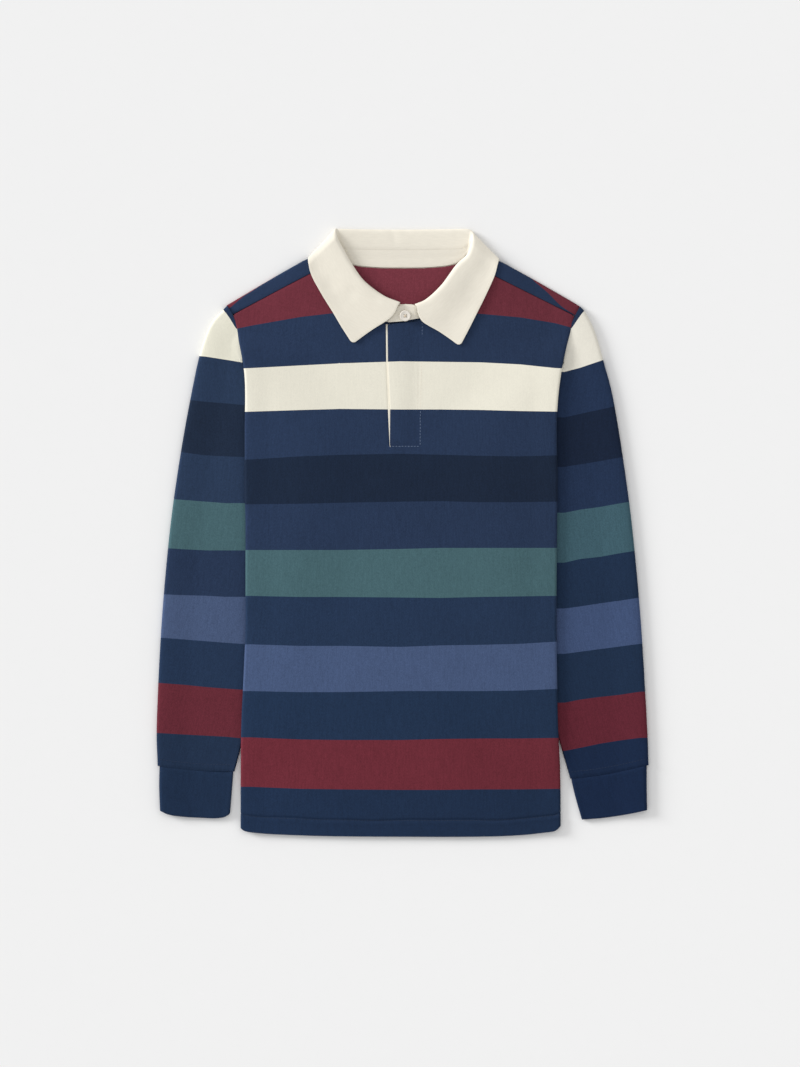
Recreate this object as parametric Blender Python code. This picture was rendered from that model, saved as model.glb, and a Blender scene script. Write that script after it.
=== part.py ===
"""Child's long-sleeved striped polo shirt, laid flat with its front up.

Metres, +Z up. The shirt lies on z = 0 with its hem towards -Y, and the origin is under the
middle of the laid-out shirt. Sizes below are in millimetres until MM scales them.
Left and right are those of someone looking down at the shirt.
"""
import math

import bmesh
import bpy
import numpy as np

MM = 0.001

# Driving dimensions, millimetres
CLOTH = 1.2               # jersey wall
TWILL = 1.6               # doubled twill of the collar
CUFF_WALL = 1.5           # doubled jersey of the cuffs
CLEAR = 0.3               # gap between two pieces
LAYER_GAP = 0.6           # gap between the back and the front
SLEEVE_FOLD = 3.2         # height of a sleeve's folded edge
CUFF_FOLD = 3.8           # height of a cuff's folded edge
BODY_FOLD = 4.2           # height of the body's folded side
FLAP_UNDER = 12.0         # front cloth that turns under at each side
FLAP_AT_ARMHOLE = 4.0     # the same beside the armholes
BODY_LENGTH = 490.0       # front, from neck edge to hem
HEM_DEPTH = 16.0          # turned hem
HEM_STEP = 2.0            # width of the step up to the hem
HEM_RISE = 0.5            # the turned hem's extra thickness
SEAM_LEFT_X = -15.6       # seam between the left front and the underlap
PLACKET_LEFT_X = -12.8    # free edge of the fly
PLACKET_RIGHT_X = 17.1    # line where the fly is stitched down
CUT_RIGHT_X = 13.5        # right side of the front's cut-out, under the fly
PLACKET_END_Y = 81.8      # lower end of the fly
UNDERLAP_END_Y = 86.8     # lower end of the underlap, in the front's cut-out
BUTTON_AT = (2.5, 207.0)
BUTTON_DIAMETER = 10.6
BUTTON_THICK = 2.4
BUTTON_HOLE = 1.5

# Heights of the layers, all undersides
OVER_SLEEVE = SLEEVE_FOLD + CLEAR
OVER_FALL = TWILL + CLEAR
FRONT_RISE = CLOTH + LAYER_GAP      # front wall over the back wall
PAST_SLEEVE = 4.0                   # level stretch past a hidden sleeve's fold
SLOPE_WIDTH = 46.0                  # width of the slope down from it

# Sides of the body: the left and right edge at each height
BODY_SIDES = {
    "y": (207, 194.5, 181.5, 169, 153, 130, 98, 50, 5, -82, -132, -178, -223, -283),
    "left": (-162.7, -157.7, -155.3, -152.9, -150.4, -149.5, -150, -150, -149.2, -149.2,
             -150.9, -153.1, -153.7, -153.8),
    "right": (164.2, 160.6, 156.8, 153.9, 150.9, 148, 146.5, 147.2, 146.8, 146.3,
              146.9, 147.6, 149.7, 150.3),
}
# Hem line
HEM = {
    "x": (-154, -144, -97, -59, 0, 36, 74, 112, 150.5),
    "y": (-281.8, -283.7, -286.6, -287.5, -287.9, -288, -287.8, -286.4, -282.2),
}
# Fold of the shoulders, then the back's neck edge between them
BACK_TOP = {
    "x": (-167, -141.5, -118, -94, -88, -80, -72, -66, -62, -57, -49, -38, -20, 0,
          20, 38, 49, 57, 62, 66, 72, 80, 88, 95, 127, 162, 168.6),
    "y": (216, 230.5, 244.2, 257.5, 257, 258.5, 261, 261, 259.5, 257, 254.2, 252, 250.8, 250.6,
          250.8, 252, 254.2, 257, 259.5, 260.5, 261.5, 259.3, 257.3, 257.2, 240, 219.5, 215.4),
}
# Forward shoulder seams, then the front's neck edge between them
FRONT_TOP = {
    "x": (-163, -141.5, -118, -88, -65.5, -64.5, -63, -54, -38, -15.6,
          13.5, 40, 57, 67, 70, 71, 89, 118, 144.5, 164.5),
    "y": (207, 218.6, 231.2, 246.8, 258.6, 250, 236, 220.5, 206.5, 199.4,
          202.6, 209, 221.5, 236, 248, 253.9, 244, 229.5, 216.3, 206.5),
}
# Hidden reach of each sleeve under the body
SLEEVE_REACH = {
    "y": (190, 168, 140, 120, 95, 50, -15, -95, -184, -200, -225),
    "reach": (0, 3, 14, 28, 40, 42, 34, 21, 5, 1, 0),
}

# Each sleeve: its outer fold and its inner fold at each station, from head to wrist.
# bow is how far the station's line bends towards the body.
SLEEVE_LEFT = {
    "out_x": (-169.6, -178.5, -185, -192.6, -201.1, -211, -220.8, -228.7, -233.4, -232.6),
    "out_y": (212.4, 204.4, 193, 170.2, 130.3, 75, 5, -82.5, -177.5, -217),
    "in_x": (-154.3, -151.8, -138, -123, -111, -109, -116, -129, -149, -159.6),
    "in_y": (172, 158, 142, 122, 95, 50, -15, -95, -184, -225.2),
    "bow": (3.0, 2.0, 0, 0, 0, 0, 0, 0, 0, 0),
    "sag": (0, 0, 0, 0, 0, 0, 0, 0, 0, 1.6),
}
SLEEVE_RIGHT = {
    "out_x": (172, 178.5, 184, 192, 199.7, 209, 218.3, 226.3, 232.1, 233.6),
    "out_y": (211.6, 201.5, 188, 160, 130.3, 75, 5, -82.5, -177.5, -219),
    "in_x": (155.6, 153, 138, 122, 110, 107, 113, 125, 144, 159.4),
    "in_y": (172, 158, 142, 122, 95, 50, -15, -95, -178, -232.4),
    "bow": (3.0, 2.0, 0, 0, 0, 0, 0, 0, 0, 0),
    "sag": (0, 0, 0, 0, 0, 0, 0, 0, 0, 1.6),
}
# Each cuff: folds at the seam, halfway and at the open end; sag bends the line towards -Y
CUFF_LEFT = {
    "out_x": (-231.2, -230.8, -230.2), "out_y": (-218, -240, -263.8),
    "in_x": (-160.3, -162, -164.2), "in_y": (-225.9, -245, -264.6), "sag": (1.6, 2.4, 4.6),
}
CUFF_RIGHT = {
    "out_x": (232.8, 232.2, 232.6), "out_y": (-220.2, -242, -262.4),
    "in_x": (160, 164.2, 170.6), "in_y": (-233.2, -250, -271.0), "sag": (1.6, 1.6, 1.6),
}

# The collar, in stations from the left front round the back to the right front:
# the neck seam, the seam between stand and fall, the roll, and the fall's free edge.
# turn is 0 where the fall lies under the back neck and 1 where it lies on the front.
COLLAR = {
    "neck_x": (-14.0, -35.5, -52.5, -61.5, -62.6, -61.0, -60.2, -59.0, -55.2, -48, -37, -20, 0,
               20, 37, 48, 55.2, 60, 65.0, 68.6, 68.4, 64.2, 55, 38, 18),
    "neck_y": (201.2, 208.4, 222.6, 237.5, 250, 260.5, 267, 264, 258.6, 255.4, 253.4, 252.2, 252,
               252.2, 253.4, 255.4, 258.6, 264, 268, 262.5, 250, 237.5, 224, 211, 205),
    "seam_x": (-5.0, -23, -41.5, -52.5, -58.4, -61, -62.2, -60.6, -56.6, -50, -39, -20.5, 0,
               21, 39.5, 51, 58.4, 62.6, 65.2, 65.2, 62.8, 55.5, 43, 27.5, 14.5),
    "seam_y": (215.6, 221, 234.4, 249.5, 262.2, 272, 277, 274.6, 271.6, 270.4, 270, 269.8, 269.6,
               269.8, 270, 270.4, 271.6, 274.6, 277.5, 272, 261.4, 250, 232.4, 219.4, 214.6),
    "roll_x": (-2.4, -18.7, -36.3, -47.2, -57, -62.4, -63.9, -61.4, -55, -48, -38, -20, 0,
               21, 40, 50, 57.6, 63.8, 67.0, 65.6, 61.3, 51.2, 37.5, 22.9, 11.8),
    "roll_y": (219.2, 226, 239.3, 253.8, 271, 281.5, 288.4, 289.0, 288.8, 288.5, 288.3, 288.1, 288,
               288.2, 288.4, 288.6, 288.8, 288.2, 284.2, 275.5, 264.5, 254.6, 236, 222.4, 217.4),
    "free_x": (-47.5, -57.8, -66.1, -76.6, -86, -89.2, -89.0, -84.5, -70, -58, -44, -22, 0,
               22, 44, 58, 70, 85.5, 91, 90.2, 87.2, 79.4, 71, 62.7, 54.5),
    "free_y": (180.1, 196, 210.1, 227, 244.3, 255.6, 262, 259.6, 252.6, 249.6, 247.6, 246.4, 246,
               246.4, 247.6, 249.6, 252.6, 258.4, 261, 255.2, 244.3, 227, 210.1, 193.5, 178),
    "turn": (1, 1, 1, 1, 1, 1, 0.5, 0, 0, 0, 0, 0, 0,
             0, 0, 0, 0, 0, 0.5, 1, 1, 1, 1, 1, 1),
    "bow": (6, 2.4, 0.6, 0, 0, 0, 0, 0, 0, 0, 0, 0, 0,
            0, 0, 0, 0, 0, 0, 0, 0, 0, 0.6, 2.4, 5.5),
}
FALL_UNDER_Z = TWILL / 2                       # middle of the fall under the back neck
STAND_BACK_Z = OVER_FALL + TWILL / 2           # middle of the stand at the back neck
LEAF_GAP = 0.5                                 # gap under the leaves
ROLL_PUFF = 2.2                                # the roll stands above the flat leaf
STEPS_BETWEEN = 2                              # extra smoothing between table rows


def smoothstep(value, low, high):
    """0 at low, 1 at high, eased between them."""
    part = np.clip((np.asarray(value, float) - low) / (high - low), 0.0, 1.0)
    return part * part * (3.0 - 2.0 * part)


def along(table, key, value, name):
    """Reads column name of a table at value of its key column, in straight pieces."""
    keys = np.array(table[key], float)
    column = np.array(table[name], float)
    order = np.argsort(keys)
    return np.interp(value, keys[order], column[order])


def smooth_column(column, steps):
    """Cubic (Catmull-Rom) refinement of one table column, steps points a span."""
    values = np.array(column, float)
    ends = np.concatenate(([2 * values[0] - values[1]], values, [2 * values[-1] - values[-2]]))
    result = []
    for index in range(len(values) - 1):
        before, start, end, after = ends[index:index + 4]
        for step in range(steps):
            t = step / steps
            result.append(0.5 * (2 * start + (end - before) * t
                                 + (2 * before - 5 * start + 4 * end - after) * t * t
                                 + (3 * start - before - 3 * end + after) * t ** 3))
    result.append(values[-1])
    return np.array(result)


def side_x(side, y):
    """Edge of the body at height y."""
    return along(BODY_SIDES, "y", y, side)


def under_body(x, y):
    """Underside of the body: up over the sleeves at the sides and over the collar's fall."""
    reach = along(SLEEVE_REACH, "y", y, "reach")
    from_left = x - side_x("left", y)
    from_right = side_x("right", y) - x
    start, end = reach + PAST_SLEEVE, reach + PAST_SLEEVE + SLOPE_WIDTH
    cover = np.maximum(1 - smoothstep(from_left, start, end),
                       1 - smoothstep(from_right, start, end))
    beside_sleeve = (1 - smoothstep(y, 166, 196)) * smoothstep(y, -246, -202)
    neck = smoothstep(y, 212, 241) * (1 - smoothstep(np.abs(x), 96, 132))
    return np.maximum(OVER_SLEEVE * cover * beside_sleeve, OVER_FALL * neck)


def flap(y):
    """Width of the front's cloth that turns under at height y."""
    return FLAP_AT_ARMHOLE + (FLAP_UNDER - FLAP_AT_ARMHOLE) * (1 - smoothstep(y, 160, 186))


def top_of_body(x, y):
    """Top of the front, away from its folded edges."""
    return under_body(x, y) + FRONT_RISE + CLOTH


def fabric(name, colour, roughness):
    """Cloth or plastic, without metal."""
    material = bpy.data.materials.new(name)
    material.use_nodes = True
    shader = material.node_tree.nodes["Principled BSDF"]
    shader.inputs["Base Color"].default_value = (*colour, 1.0)
    shader.inputs["Roughness"].default_value = roughness
    shader.inputs["Metallic"].default_value = 0.0
    return material


def add_object(name, vertices, faces, material):
    """Makes a mesh object from millimetre points, its faces turned outwards."""
    mesh = bpy.data.meshes.new(name)
    mesh.from_pydata([tuple(float(c) * MM for c in v) for v in vertices], [], faces)
    work = bmesh.new()
    work.from_mesh(mesh)
    loose = [v for v in work.verts if not v.link_faces]
    bmesh.ops.delete(work, geom=loose, context="VERTS")
    bmesh.ops.recalc_face_normals(work, faces=work.faces)
    bmesh.ops.triangulate(work, faces=work.faces)
    work.to_mesh(mesh)
    work.free()
    mesh.materials.append(material)
    mesh.shade_smooth()
    mesh.set_sharp_from_angle(angle=math.radians(40))
    item = bpy.data.objects.new(name, mesh)
    bpy.context.collection.objects.link(item)
    return item


def grid_normals(points, closed):
    """Unit normals of a grid of points, most of them upwards; closed wraps the rows round."""
    if closed:
        across = np.roll(points, -1, axis=1) - np.roll(points, 1, axis=1)
    else:
        across = np.gradient(points, axis=1)
    down = np.gradient(points, axis=0)
    normals = np.cross(across, down)
    if not closed and normals[..., 2].sum() < 0:
        normals = -normals
    return normals / np.linalg.norm(normals, axis=2, keepdims=True)


def cloth_wall(name, middle, thickness, material, closed=False, present=None, rise=None):
    """A wall of cloth round a grid of middle points.

    present marks the grid's cells that are cloth. rise thickens one face, point by point.
    """
    rows, columns = middle.shape[:2]
    normals = grid_normals(middle, closed)
    extra = np.zeros((rows, columns)) if rise is None else rise
    first = middle + normals * (thickness / 2 + extra)[..., None]
    second = middle - normals * (thickness / 2)
    vertices = np.concatenate((first.reshape(-1, 3), second.reshape(-1, 3)))
    across = columns if closed else columns - 1
    if present is None:
        present = np.ones((rows - 1, across), bool)

    def index(row, column, layer):
        return layer * rows * columns + row * columns + column % columns

    def cell(row, column):
        if closed:
            column %= columns
        inside = 0 <= row < rows - 1 and 0 <= column < across
        return inside and present[row, column]

    faces = []
    for row in range(rows - 1):
        for column in range(across):
            if not present[row, column]:
                continue
            corners = ((row, column), (row, column + 1), (row + 1, column + 1), (row + 1, column))
            faces.append([index(*corner, 0) for corner in corners])
            faces.append([index(*corner, 1) for corner in reversed(corners)])
            beside = ((row - 1, column), (row, column + 1), (row + 1, column), (row, column - 1))
            for step, neighbour in enumerate(beside):
                if cell(*neighbour):
                    continue
                start, end = corners[step], corners[(step + 1) % 4]
                faces.append([index(*end, 0), index(*start, 0), index(*start, 1), index(*end, 1)])
    return add_object(name, vertices, faces, material)


def column_top(table, x_at, start):
    """Where a column whose x depends on y meets the edge given by the table."""
    y = start
    for _ in range(12):
        y = 0.5 * y + 0.5 * float(along(table, "x", x_at(y), "y"))
    return y


def fold_profile(height, thickness, steps):
    """Half turn of a folded edge: (distance in from the edge, height) of the middle."""
    radius = (height - thickness) / 2
    turns = [math.pi * step / steps for step in range(steps + 1)]
    return [(height / 2 - radius * math.sin(a), height / 2 - radius * math.cos(a)) for a in turns]


def build_front(material):
    """Front: neck and shoulder seams above, sides turned under, hem below, placket cut out."""
    cut_share = 0.2375
    hem_share = 1 - HEM_DEPTH / BODY_LENGTH
    downs = (0, 0.02, 0.05, 0.09, 0.13, 0.18, cut_share, 0.30, 0.37, 0.45, 0.53, 0.61, 0.69, 0.77,
             0.84, 0.90, 0.943, hem_share - HEM_STEP / BODY_LENGTH, hem_share, 1.0)
    left_x = (-150, -130, -108, -86, -70, -65.5, -64.5, -63, -54, -44, -32, -22, SEAM_LEFT_X)
    right_x = (CUT_RIGHT_X, 24, 34, 44, 57, 67, 70, 71, 84, 108, 130, 150)
    fold = fold_profile(BODY_FOLD, CLOTH, 4)
    inner = fold[-1][0]
    top_left = side_x("left", 207)
    top_right = side_x("right", 207)

    columns = []
    for side, sign in (("left", 1), ("right", -1)):
        edge = []
        edge.append((lambda y, s=side, g=sign: side_x(s, y) + g * flap(y), CLOTH / 2))
        for reach, height in fold:
            edge.append((lambda y, s=side, g=sign, r=reach: side_x(s, y) + g * r, height))
        columns.append(edge)
    flat = FRONT_RISE + CLOTH / 2
    middle = []
    for x in left_x:
        share = (x - (top_left + inner)) / (SEAM_LEFT_X - (top_left + inner))
        middle.append(lambda y, s=share: (side_x("left", y) + inner) * (1 - s) + SEAM_LEFT_X * s)
    for x in right_x:
        share = (top_right - inner - x) / (top_right - inner - CUT_RIGHT_X)
        middle.append(lambda y, s=share: (side_x("right", y) - inner) * (1 - s) + CUT_RIGHT_X * s)

    points = np.zeros((len(downs), len(middle) + 12, 3))
    heights = np.zeros(points.shape[:2])
    rise = np.zeros(points.shape[:2])
    paths = [(f, h) for f, h in columns[0]] + [(f, flat) for f in middle]
    paths += [(f, h) for f, h in reversed(columns[1])]
    for column, (x_at, height) in enumerate(paths):
        beside = column < 6 or column >= len(paths) - 6
        top = 206.8 if beside else column_top(FRONT_TOP, x_at, 220) - CLEAR
        for row, share in enumerate(downs):
            bottom_x = x_at(-284)
            bottom = float(along(HEM, "x", bottom_x, "y"))
            y = top + (bottom - top) * share
            x = float(x_at(y))
            points[row, column, :2] = x, y
            heights[row, column] = height
            rise[row, column] = HEM_RISE * (share >= hem_share and height > BODY_FOLD * 0.6)
    x, y = points[..., 0], points[..., 1]
    puffed = (fold[-1][1] - flat) * (1 - smoothstep(np.minimum(x - side_x("left", y),
                                                               side_x("right", y) - x), 3, 22))
    top_side = heights == flat
    points[..., 2] = under_body(x, y) + heights + np.where(top_side, puffed, 0)
    present = np.ones((len(downs) - 1, len(paths) - 1), bool)
    cut_column = 6 + len(left_x) - 1
    present[:downs.index(cut_share), cut_column] = False
    return cloth_wall("front_panel", points, CLOTH, material, present=present, rise=rise)


def build_back(material):
    """Back: the lower wall, turned over both shoulder folds to the forward seams."""
    downs = (0, 0.10, 0.2, 0.3, 0.4, 0.5, 0.6, 0.7, 0.78, 0.84, 0.89, 0.93, 0.965, 0.982, 1.0)
    xs = (-163.5, -152, -141.5, -128, -112, -97, -84, -73, -66.5, -62, -57, -49, -38, -20, 0,
          20, 38, 49, 57, 62, 66, 72, 80, 91, 108, 127, 146, 158, 165)
    height = 2 * CLOTH + LAYER_GAP
    fold = fold_profile(height, CLOTH, 4)
    strip = (0.45, 1.0)

    def edge(side, sign, y):
        lower = side_x(side, y) + sign * (flap(y) + CLEAR + 0.1)
        tip = xs[0] if sign > 0 else xs[-1]
        return lower + (tip - lower) * smoothstep(y, 207.2, 209.5)

    rows = len(downs) + len(fold) - 1 + len(strip)
    points = np.zeros((rows, len(xs), 3))
    for column, x_top in enumerate(xs):
        share = (x_top - xs[0]) / (xs[-1] - xs[0])

        def x_at(y):
            return edge("left", 1, y) * (1 - share) + edge("right", -1, y) * share

        top = float(along(BACK_TOP, "x", x_top, "y"))
        bottom = float(along(HEM, "x", x_at(-284), "y")) + 1.0
        last = top - fold[0][0]
        for row, part in enumerate(downs):
            y = bottom + (last - bottom) * part
            blend = smoothstep(y, 207.2, 214)
            x = x_at(y) * (1 - blend) + x_top * blend
            points[row, column] = x, y, CLOTH / 2
        for step, (reach, rise) in enumerate(fold[1:]):
            points[len(downs) + step, column] = x_top, top - reach, rise
        seam = float(along(FRONT_TOP, "x", x_top, "y")) + CLEAR
        start = top - fold[-1][0]
        for step, part in enumerate(strip):
            y = start + (seam - start) * part
            points[len(downs) + len(fold) - 1 + step, column] = x_top, y, fold[-1][1]
    points[..., 2] += under_body(points[..., 0], points[..., 1])
    present = np.ones((rows - 1, len(xs) - 1), bool)
    neck_start, neck_end = xs.index(-66.5), xs.index(72)
    present[len(downs) - 1:, neck_start:neck_end] = False
    return cloth_wall("back_panel", points, CLOTH, material, present=present)


def build_tube(name, table, wall, fold_height, material):
    """A flattened open tube: a ring of cloth at each station between its two folds."""
    steps = STEPS_BETWEEN
    out_x, out_y = smooth_column(table["out_x"], steps), smooth_column(table["out_y"], steps)
    in_x, in_y = smooth_column(table["in_x"], steps), smooth_column(table["in_y"], steps)
    bow = smooth_column(table.get("bow", (0,) * len(table["out_x"])), steps)
    sag = smooth_column(table.get("sag", (0,) * len(table["out_x"])), steps)
    sign = 1 if table["in_x"][0] > table["out_x"][0] else -1
    fold = fold_profile(fold_height, wall, 4)
    flat_low = wall / 2
    flat_high = wall * 1.5 + CLEAR
    shares = (0.12, 0.3, 0.5, 0.7, 0.88)
    stations = []
    for ox, oy, ix, iy, bend, drop in zip(out_x, out_y, in_x, in_y, bow, sag):
        width = math.hypot(ix - ox, iy - oy)
        ring = [(reach / width, height) for reach, height in fold]
        ring += [(share, flat_high) for share in shares]
        ring += [(1 - reach / width, height) for reach, height in reversed(fold)]
        ring += [(share, flat_low) for share in reversed(shares)]
        station = []
        for share, height in ring:
            arch = math.sin(math.pi * share)
            station.append((ox + (ix - ox) * share + sign * bend * arch,
                            oy + (iy - oy) * share - drop * arch, height))
        stations.append(station)
    return cloth_wall(name, np.array(stations), wall, material, closed=True)


def collar_tables():
    """The collar's columns, smoothed between their rows."""
    return {key: smooth_column(column, STEPS_BETWEEN) for key, column in COLLAR.items()}


def front_stand_z(x, y):
    """Middle of the stand where it runs under the leaves, level with the front."""
    return under_body(x, y) + FRONT_RISE + CLOTH + CLEAR + TWILL / 2


def build_fall(material):
    """Fall: from its seam over the roll to the free edge, all round the neck."""
    col = collar_tables()
    shares = (0.3, 0.62, 1.0)
    sections = []
    for k, turn in enumerate(col["turn"]):
        turn = float(np.clip(turn, 0, 1))
        seam = np.array((col["seam_x"][k], col["seam_y"][k]))
        roll = np.array((col["roll_x"][k], col["roll_y"][k]))
        free = np.array((col["free_x"][k], col["free_y"][k]))
        to_seam = (seam - roll) / np.linalg.norm(seam - roll)
        to_free = (free - roll) / np.linalg.norm(free - roll)
        aside = np.array((-to_free[1], to_free[0]))
        if aside[1] > 0:
            aside = -aside
        front_z = front_stand_z(*seam) + 0.4
        seam_z = STAND_BACK_Z * (1 - turn) + front_z * turn
        roll_top = top_of_body(*roll) + CLEAR + TWILL / 2 + ROLL_PUFF + TWILL
        near_z = (STAND_BACK_Z + 0.9) * (1 - turn) + (front_z + 0.2) * turn
        far_z = FALL_UNDER_Z * (1 - turn) + (roll_top + 0.6) * turn
        reach = min(2.2, 0.45 * np.linalg.norm(seam - roll))
        section = [(*seam, seam_z), (*(roll + to_seam * reach), near_z),
                   (*roll, (near_z + far_z) / 2), (*(roll + to_free * 2.2), far_z)]
        length = np.linalg.norm(free - roll)
        for share in shares:
            bend = aside * col["bow"][k] * math.sin(math.pi * share)
            place = roll + to_free * (2.2 + (length - 2.2) * share) + bend
            rest = top_of_body(*place) + LEAF_GAP + TWILL / 2
            drop = 1 - smoothstep(share, 0.0, 0.72)
            top_z = rest + (roll_top + 0.6 - rest) * drop
            section.append((*place, FALL_UNDER_Z * (1 - turn) + top_z * turn))
        sections.append(section)
    return cloth_wall("collar_fall", np.array(sections), TWILL, material)


def build_stand(material):
    """Stand: from the neck seam up to the fall, its ends lapped over each other."""
    col = collar_tables()
    sections = []
    under_end = ((9.5, 203.6, 9.0, 216.8, 2.5), (-6.0, 201.4, -3.4, 216.8, 2.6))
    over_end = ((0.5, 201.9, 2.5, 217.2, 4.5), (-13.6, 200.9, -10.5, 213.4, 4.4))
    for nx, ny, sx, sy, z in under_end:
        sections.append([(nx, ny, z), ((nx + sx) / 2, (ny + sy) / 2, z), (sx, sy, z)])
    for k, turn in enumerate(col["turn"]):
        turn = float(np.clip(turn, 0, 1))
        neck = np.array((col["neck_x"][k], col["neck_y"][k]))
        seam = np.array((col["seam_x"][k], col["seam_y"][k]))
        up = (seam - neck) / np.linalg.norm(seam - neck)
        seam = seam - up * (CLEAR + 0.2 + 1.2 * turn)
        section = []
        for share in (0.0, 0.5, 1.0):
            place = neck + (seam - neck) * share
            back_z = STAND_BACK_Z
            level = under_body(*neck) + FRONT_RISE + CLOTH / 2
            front_z = level + (front_stand_z(*seam) + 0.4 - level) * share
            section.append((*place, back_z * (1 - turn) + front_z * turn))
        sections.append(section)
    for nx, ny, sx, sy, z in over_end:
        sections.append([(nx, ny, z), ((nx + sx) / 2, (ny + sy) / 2, z), (sx, sy, z)])
    return cloth_wall("collar_stand", np.array(sections), TWILL, material)


def plate(name, corners, z, thickness, material, steps):
    """A flat strip of cloth between four corners: top left, top right, bottom right and left."""
    top_left, top_right, bottom_right, bottom_left = (np.array(c, float) for c in corners)
    rows = []
    for share in np.linspace(0, 1, steps):
        start = top_left + (bottom_left - top_left) * share
        end = top_right + (bottom_right - top_right) * share
        row = [start + (end - start) * part for part in (0, 0.5, 1)]
        rows.append([(*p, z + under_body(*p)) for p in row])
    return cloth_wall(name, np.array(rows), thickness, material)


def build_placket(fly_material, slip_material):
    """Fly, stitched down at its right and lower edges, and the cream underlap beneath it."""
    fly_z = FRONT_RISE + CLOTH + CLEAR + CLOTH / 2
    slip_z = FRONT_RISE + CLOTH / 2
    plate("placket_flap", ((PLACKET_LEFT_X, 198.9), (PLACKET_RIGHT_X, 202.4),
                           (PLACKET_RIGHT_X, PLACKET_END_Y), (PLACKET_LEFT_X + 1, PLACKET_END_Y)),
          fly_z, CLOTH, fly_material, 6)
    plate("placket_underlap", ((SEAM_LEFT_X + CLEAR, 198.9), (CUT_RIGHT_X - CLEAR, 201.6),
                               (CUT_RIGHT_X - CLEAR, UNDERLAP_END_Y), (SEAM_LEFT_X + CLEAR, UNDERLAP_END_Y)),
          slip_z, CLOTH, slip_material, 6)


def build_button(material, base_z):
    """Four-hole button with a raised rim."""
    sides = 20
    radius = BUTTON_DIAMETER / 2
    rings = ((radius * 0.86, 0.0), (radius, 0.7), (radius, 1.7), (radius * 0.88, BUTTON_THICK),
             (radius * 0.70, BUTTON_THICK - 0.1), (radius * 0.60, BUTTON_THICK - 0.7))
    work = bmesh.new()
    loops = []
    for size, height in rings:
        loop = [work.verts.new((size * math.cos(2 * math.pi * k / sides) * MM,
                                size * math.sin(2 * math.pi * k / sides) * MM,
                                height * MM)) for k in range(sides)]
        loops.append(loop)
    for low, high in zip(loops, loops[1:]):
        for k in range(sides):
            work.faces.new((low[k], low[(k + 1) % sides], high[(k + 1) % sides], high[k]))
    work.faces.new(list(reversed(loops[0])))
    work.faces.new(loops[-1])
    bmesh.ops.recalc_face_normals(work, faces=work.faces)
    mesh = bpy.data.meshes.new("button")
    work.to_mesh(mesh)
    work.free()
    mesh.materials.append(material)
    item = bpy.data.objects.new("button", mesh)
    item.location = (BUTTON_AT[0] * MM, BUTTON_AT[1] * MM, base_z * MM)
    bpy.context.collection.objects.link(item)
    for k in range(4):
        angle = math.pi / 4 + k * math.pi / 2
        bpy.ops.mesh.primitive_cylinder_add(vertices=8, radius=BUTTON_HOLE / 2 * MM, depth=8 * MM)
        cutter = bpy.context.active_object
        cutter.name = f"button_hole_cutter_{k + 1}"
        cutter.location = ((BUTTON_AT[0] + 1.5 * math.cos(angle)) * MM,
                           (BUTTON_AT[1] + 1.5 * math.sin(angle)) * MM, base_z * MM)
        cutter.hide_render = True
        cutter.display_type = "WIRE"
        cut = item.modifiers.new(f"hole_{k + 1}", "BOOLEAN")
        cut.operation = "DIFFERENCE"
        cut.object = cutter
    return item


def main():
    for item in list(bpy.data.objects):
        bpy.data.objects.remove(item, do_unlink=True)
    jersey = fabric("striped_jersey", (0.028, 0.042, 0.082), 0.9)
    twill = fabric("cream_twill", (0.79, 0.75, 0.65), 0.85)
    cuffs = fabric("navy_cuff", (0.02, 0.035, 0.07), 0.9)
    pearl = fabric("pearl_plastic", (0.82, 0.80, 0.74), 0.3)
    build_back(jersey)
    build_front(jersey)
    build_tube("sleeve_left", SLEEVE_LEFT, CLOTH, SLEEVE_FOLD, jersey)
    build_tube("sleeve_right", SLEEVE_RIGHT, CLOTH, SLEEVE_FOLD, jersey)
    build_tube("cuff_left", CUFF_LEFT, CUFF_WALL, CUFF_FOLD, cuffs)
    build_tube("cuff_right", CUFF_RIGHT, CUFF_WALL, CUFF_FOLD, cuffs)
    build_stand(twill)
    build_fall(twill)
    build_placket(jersey, twill)
    build_button(pearl, 4.5 + TWILL / 2 + CLEAR)


main()
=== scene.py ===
import math

import bmesh
import bpy
import numpy as np
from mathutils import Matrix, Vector
from mathutils.bvhtree import BVHTree


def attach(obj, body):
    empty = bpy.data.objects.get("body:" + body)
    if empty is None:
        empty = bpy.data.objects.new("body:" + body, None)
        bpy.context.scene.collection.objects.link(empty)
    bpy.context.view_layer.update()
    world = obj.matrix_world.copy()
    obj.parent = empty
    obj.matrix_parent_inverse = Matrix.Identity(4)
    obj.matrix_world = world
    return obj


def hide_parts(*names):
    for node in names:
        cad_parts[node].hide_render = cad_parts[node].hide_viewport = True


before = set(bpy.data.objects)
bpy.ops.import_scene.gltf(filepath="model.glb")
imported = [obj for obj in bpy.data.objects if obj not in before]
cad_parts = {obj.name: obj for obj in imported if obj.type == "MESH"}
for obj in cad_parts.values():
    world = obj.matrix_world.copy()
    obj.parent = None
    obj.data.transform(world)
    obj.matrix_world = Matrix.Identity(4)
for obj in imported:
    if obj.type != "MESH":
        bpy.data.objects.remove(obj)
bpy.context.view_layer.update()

MM = 0.001

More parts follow.
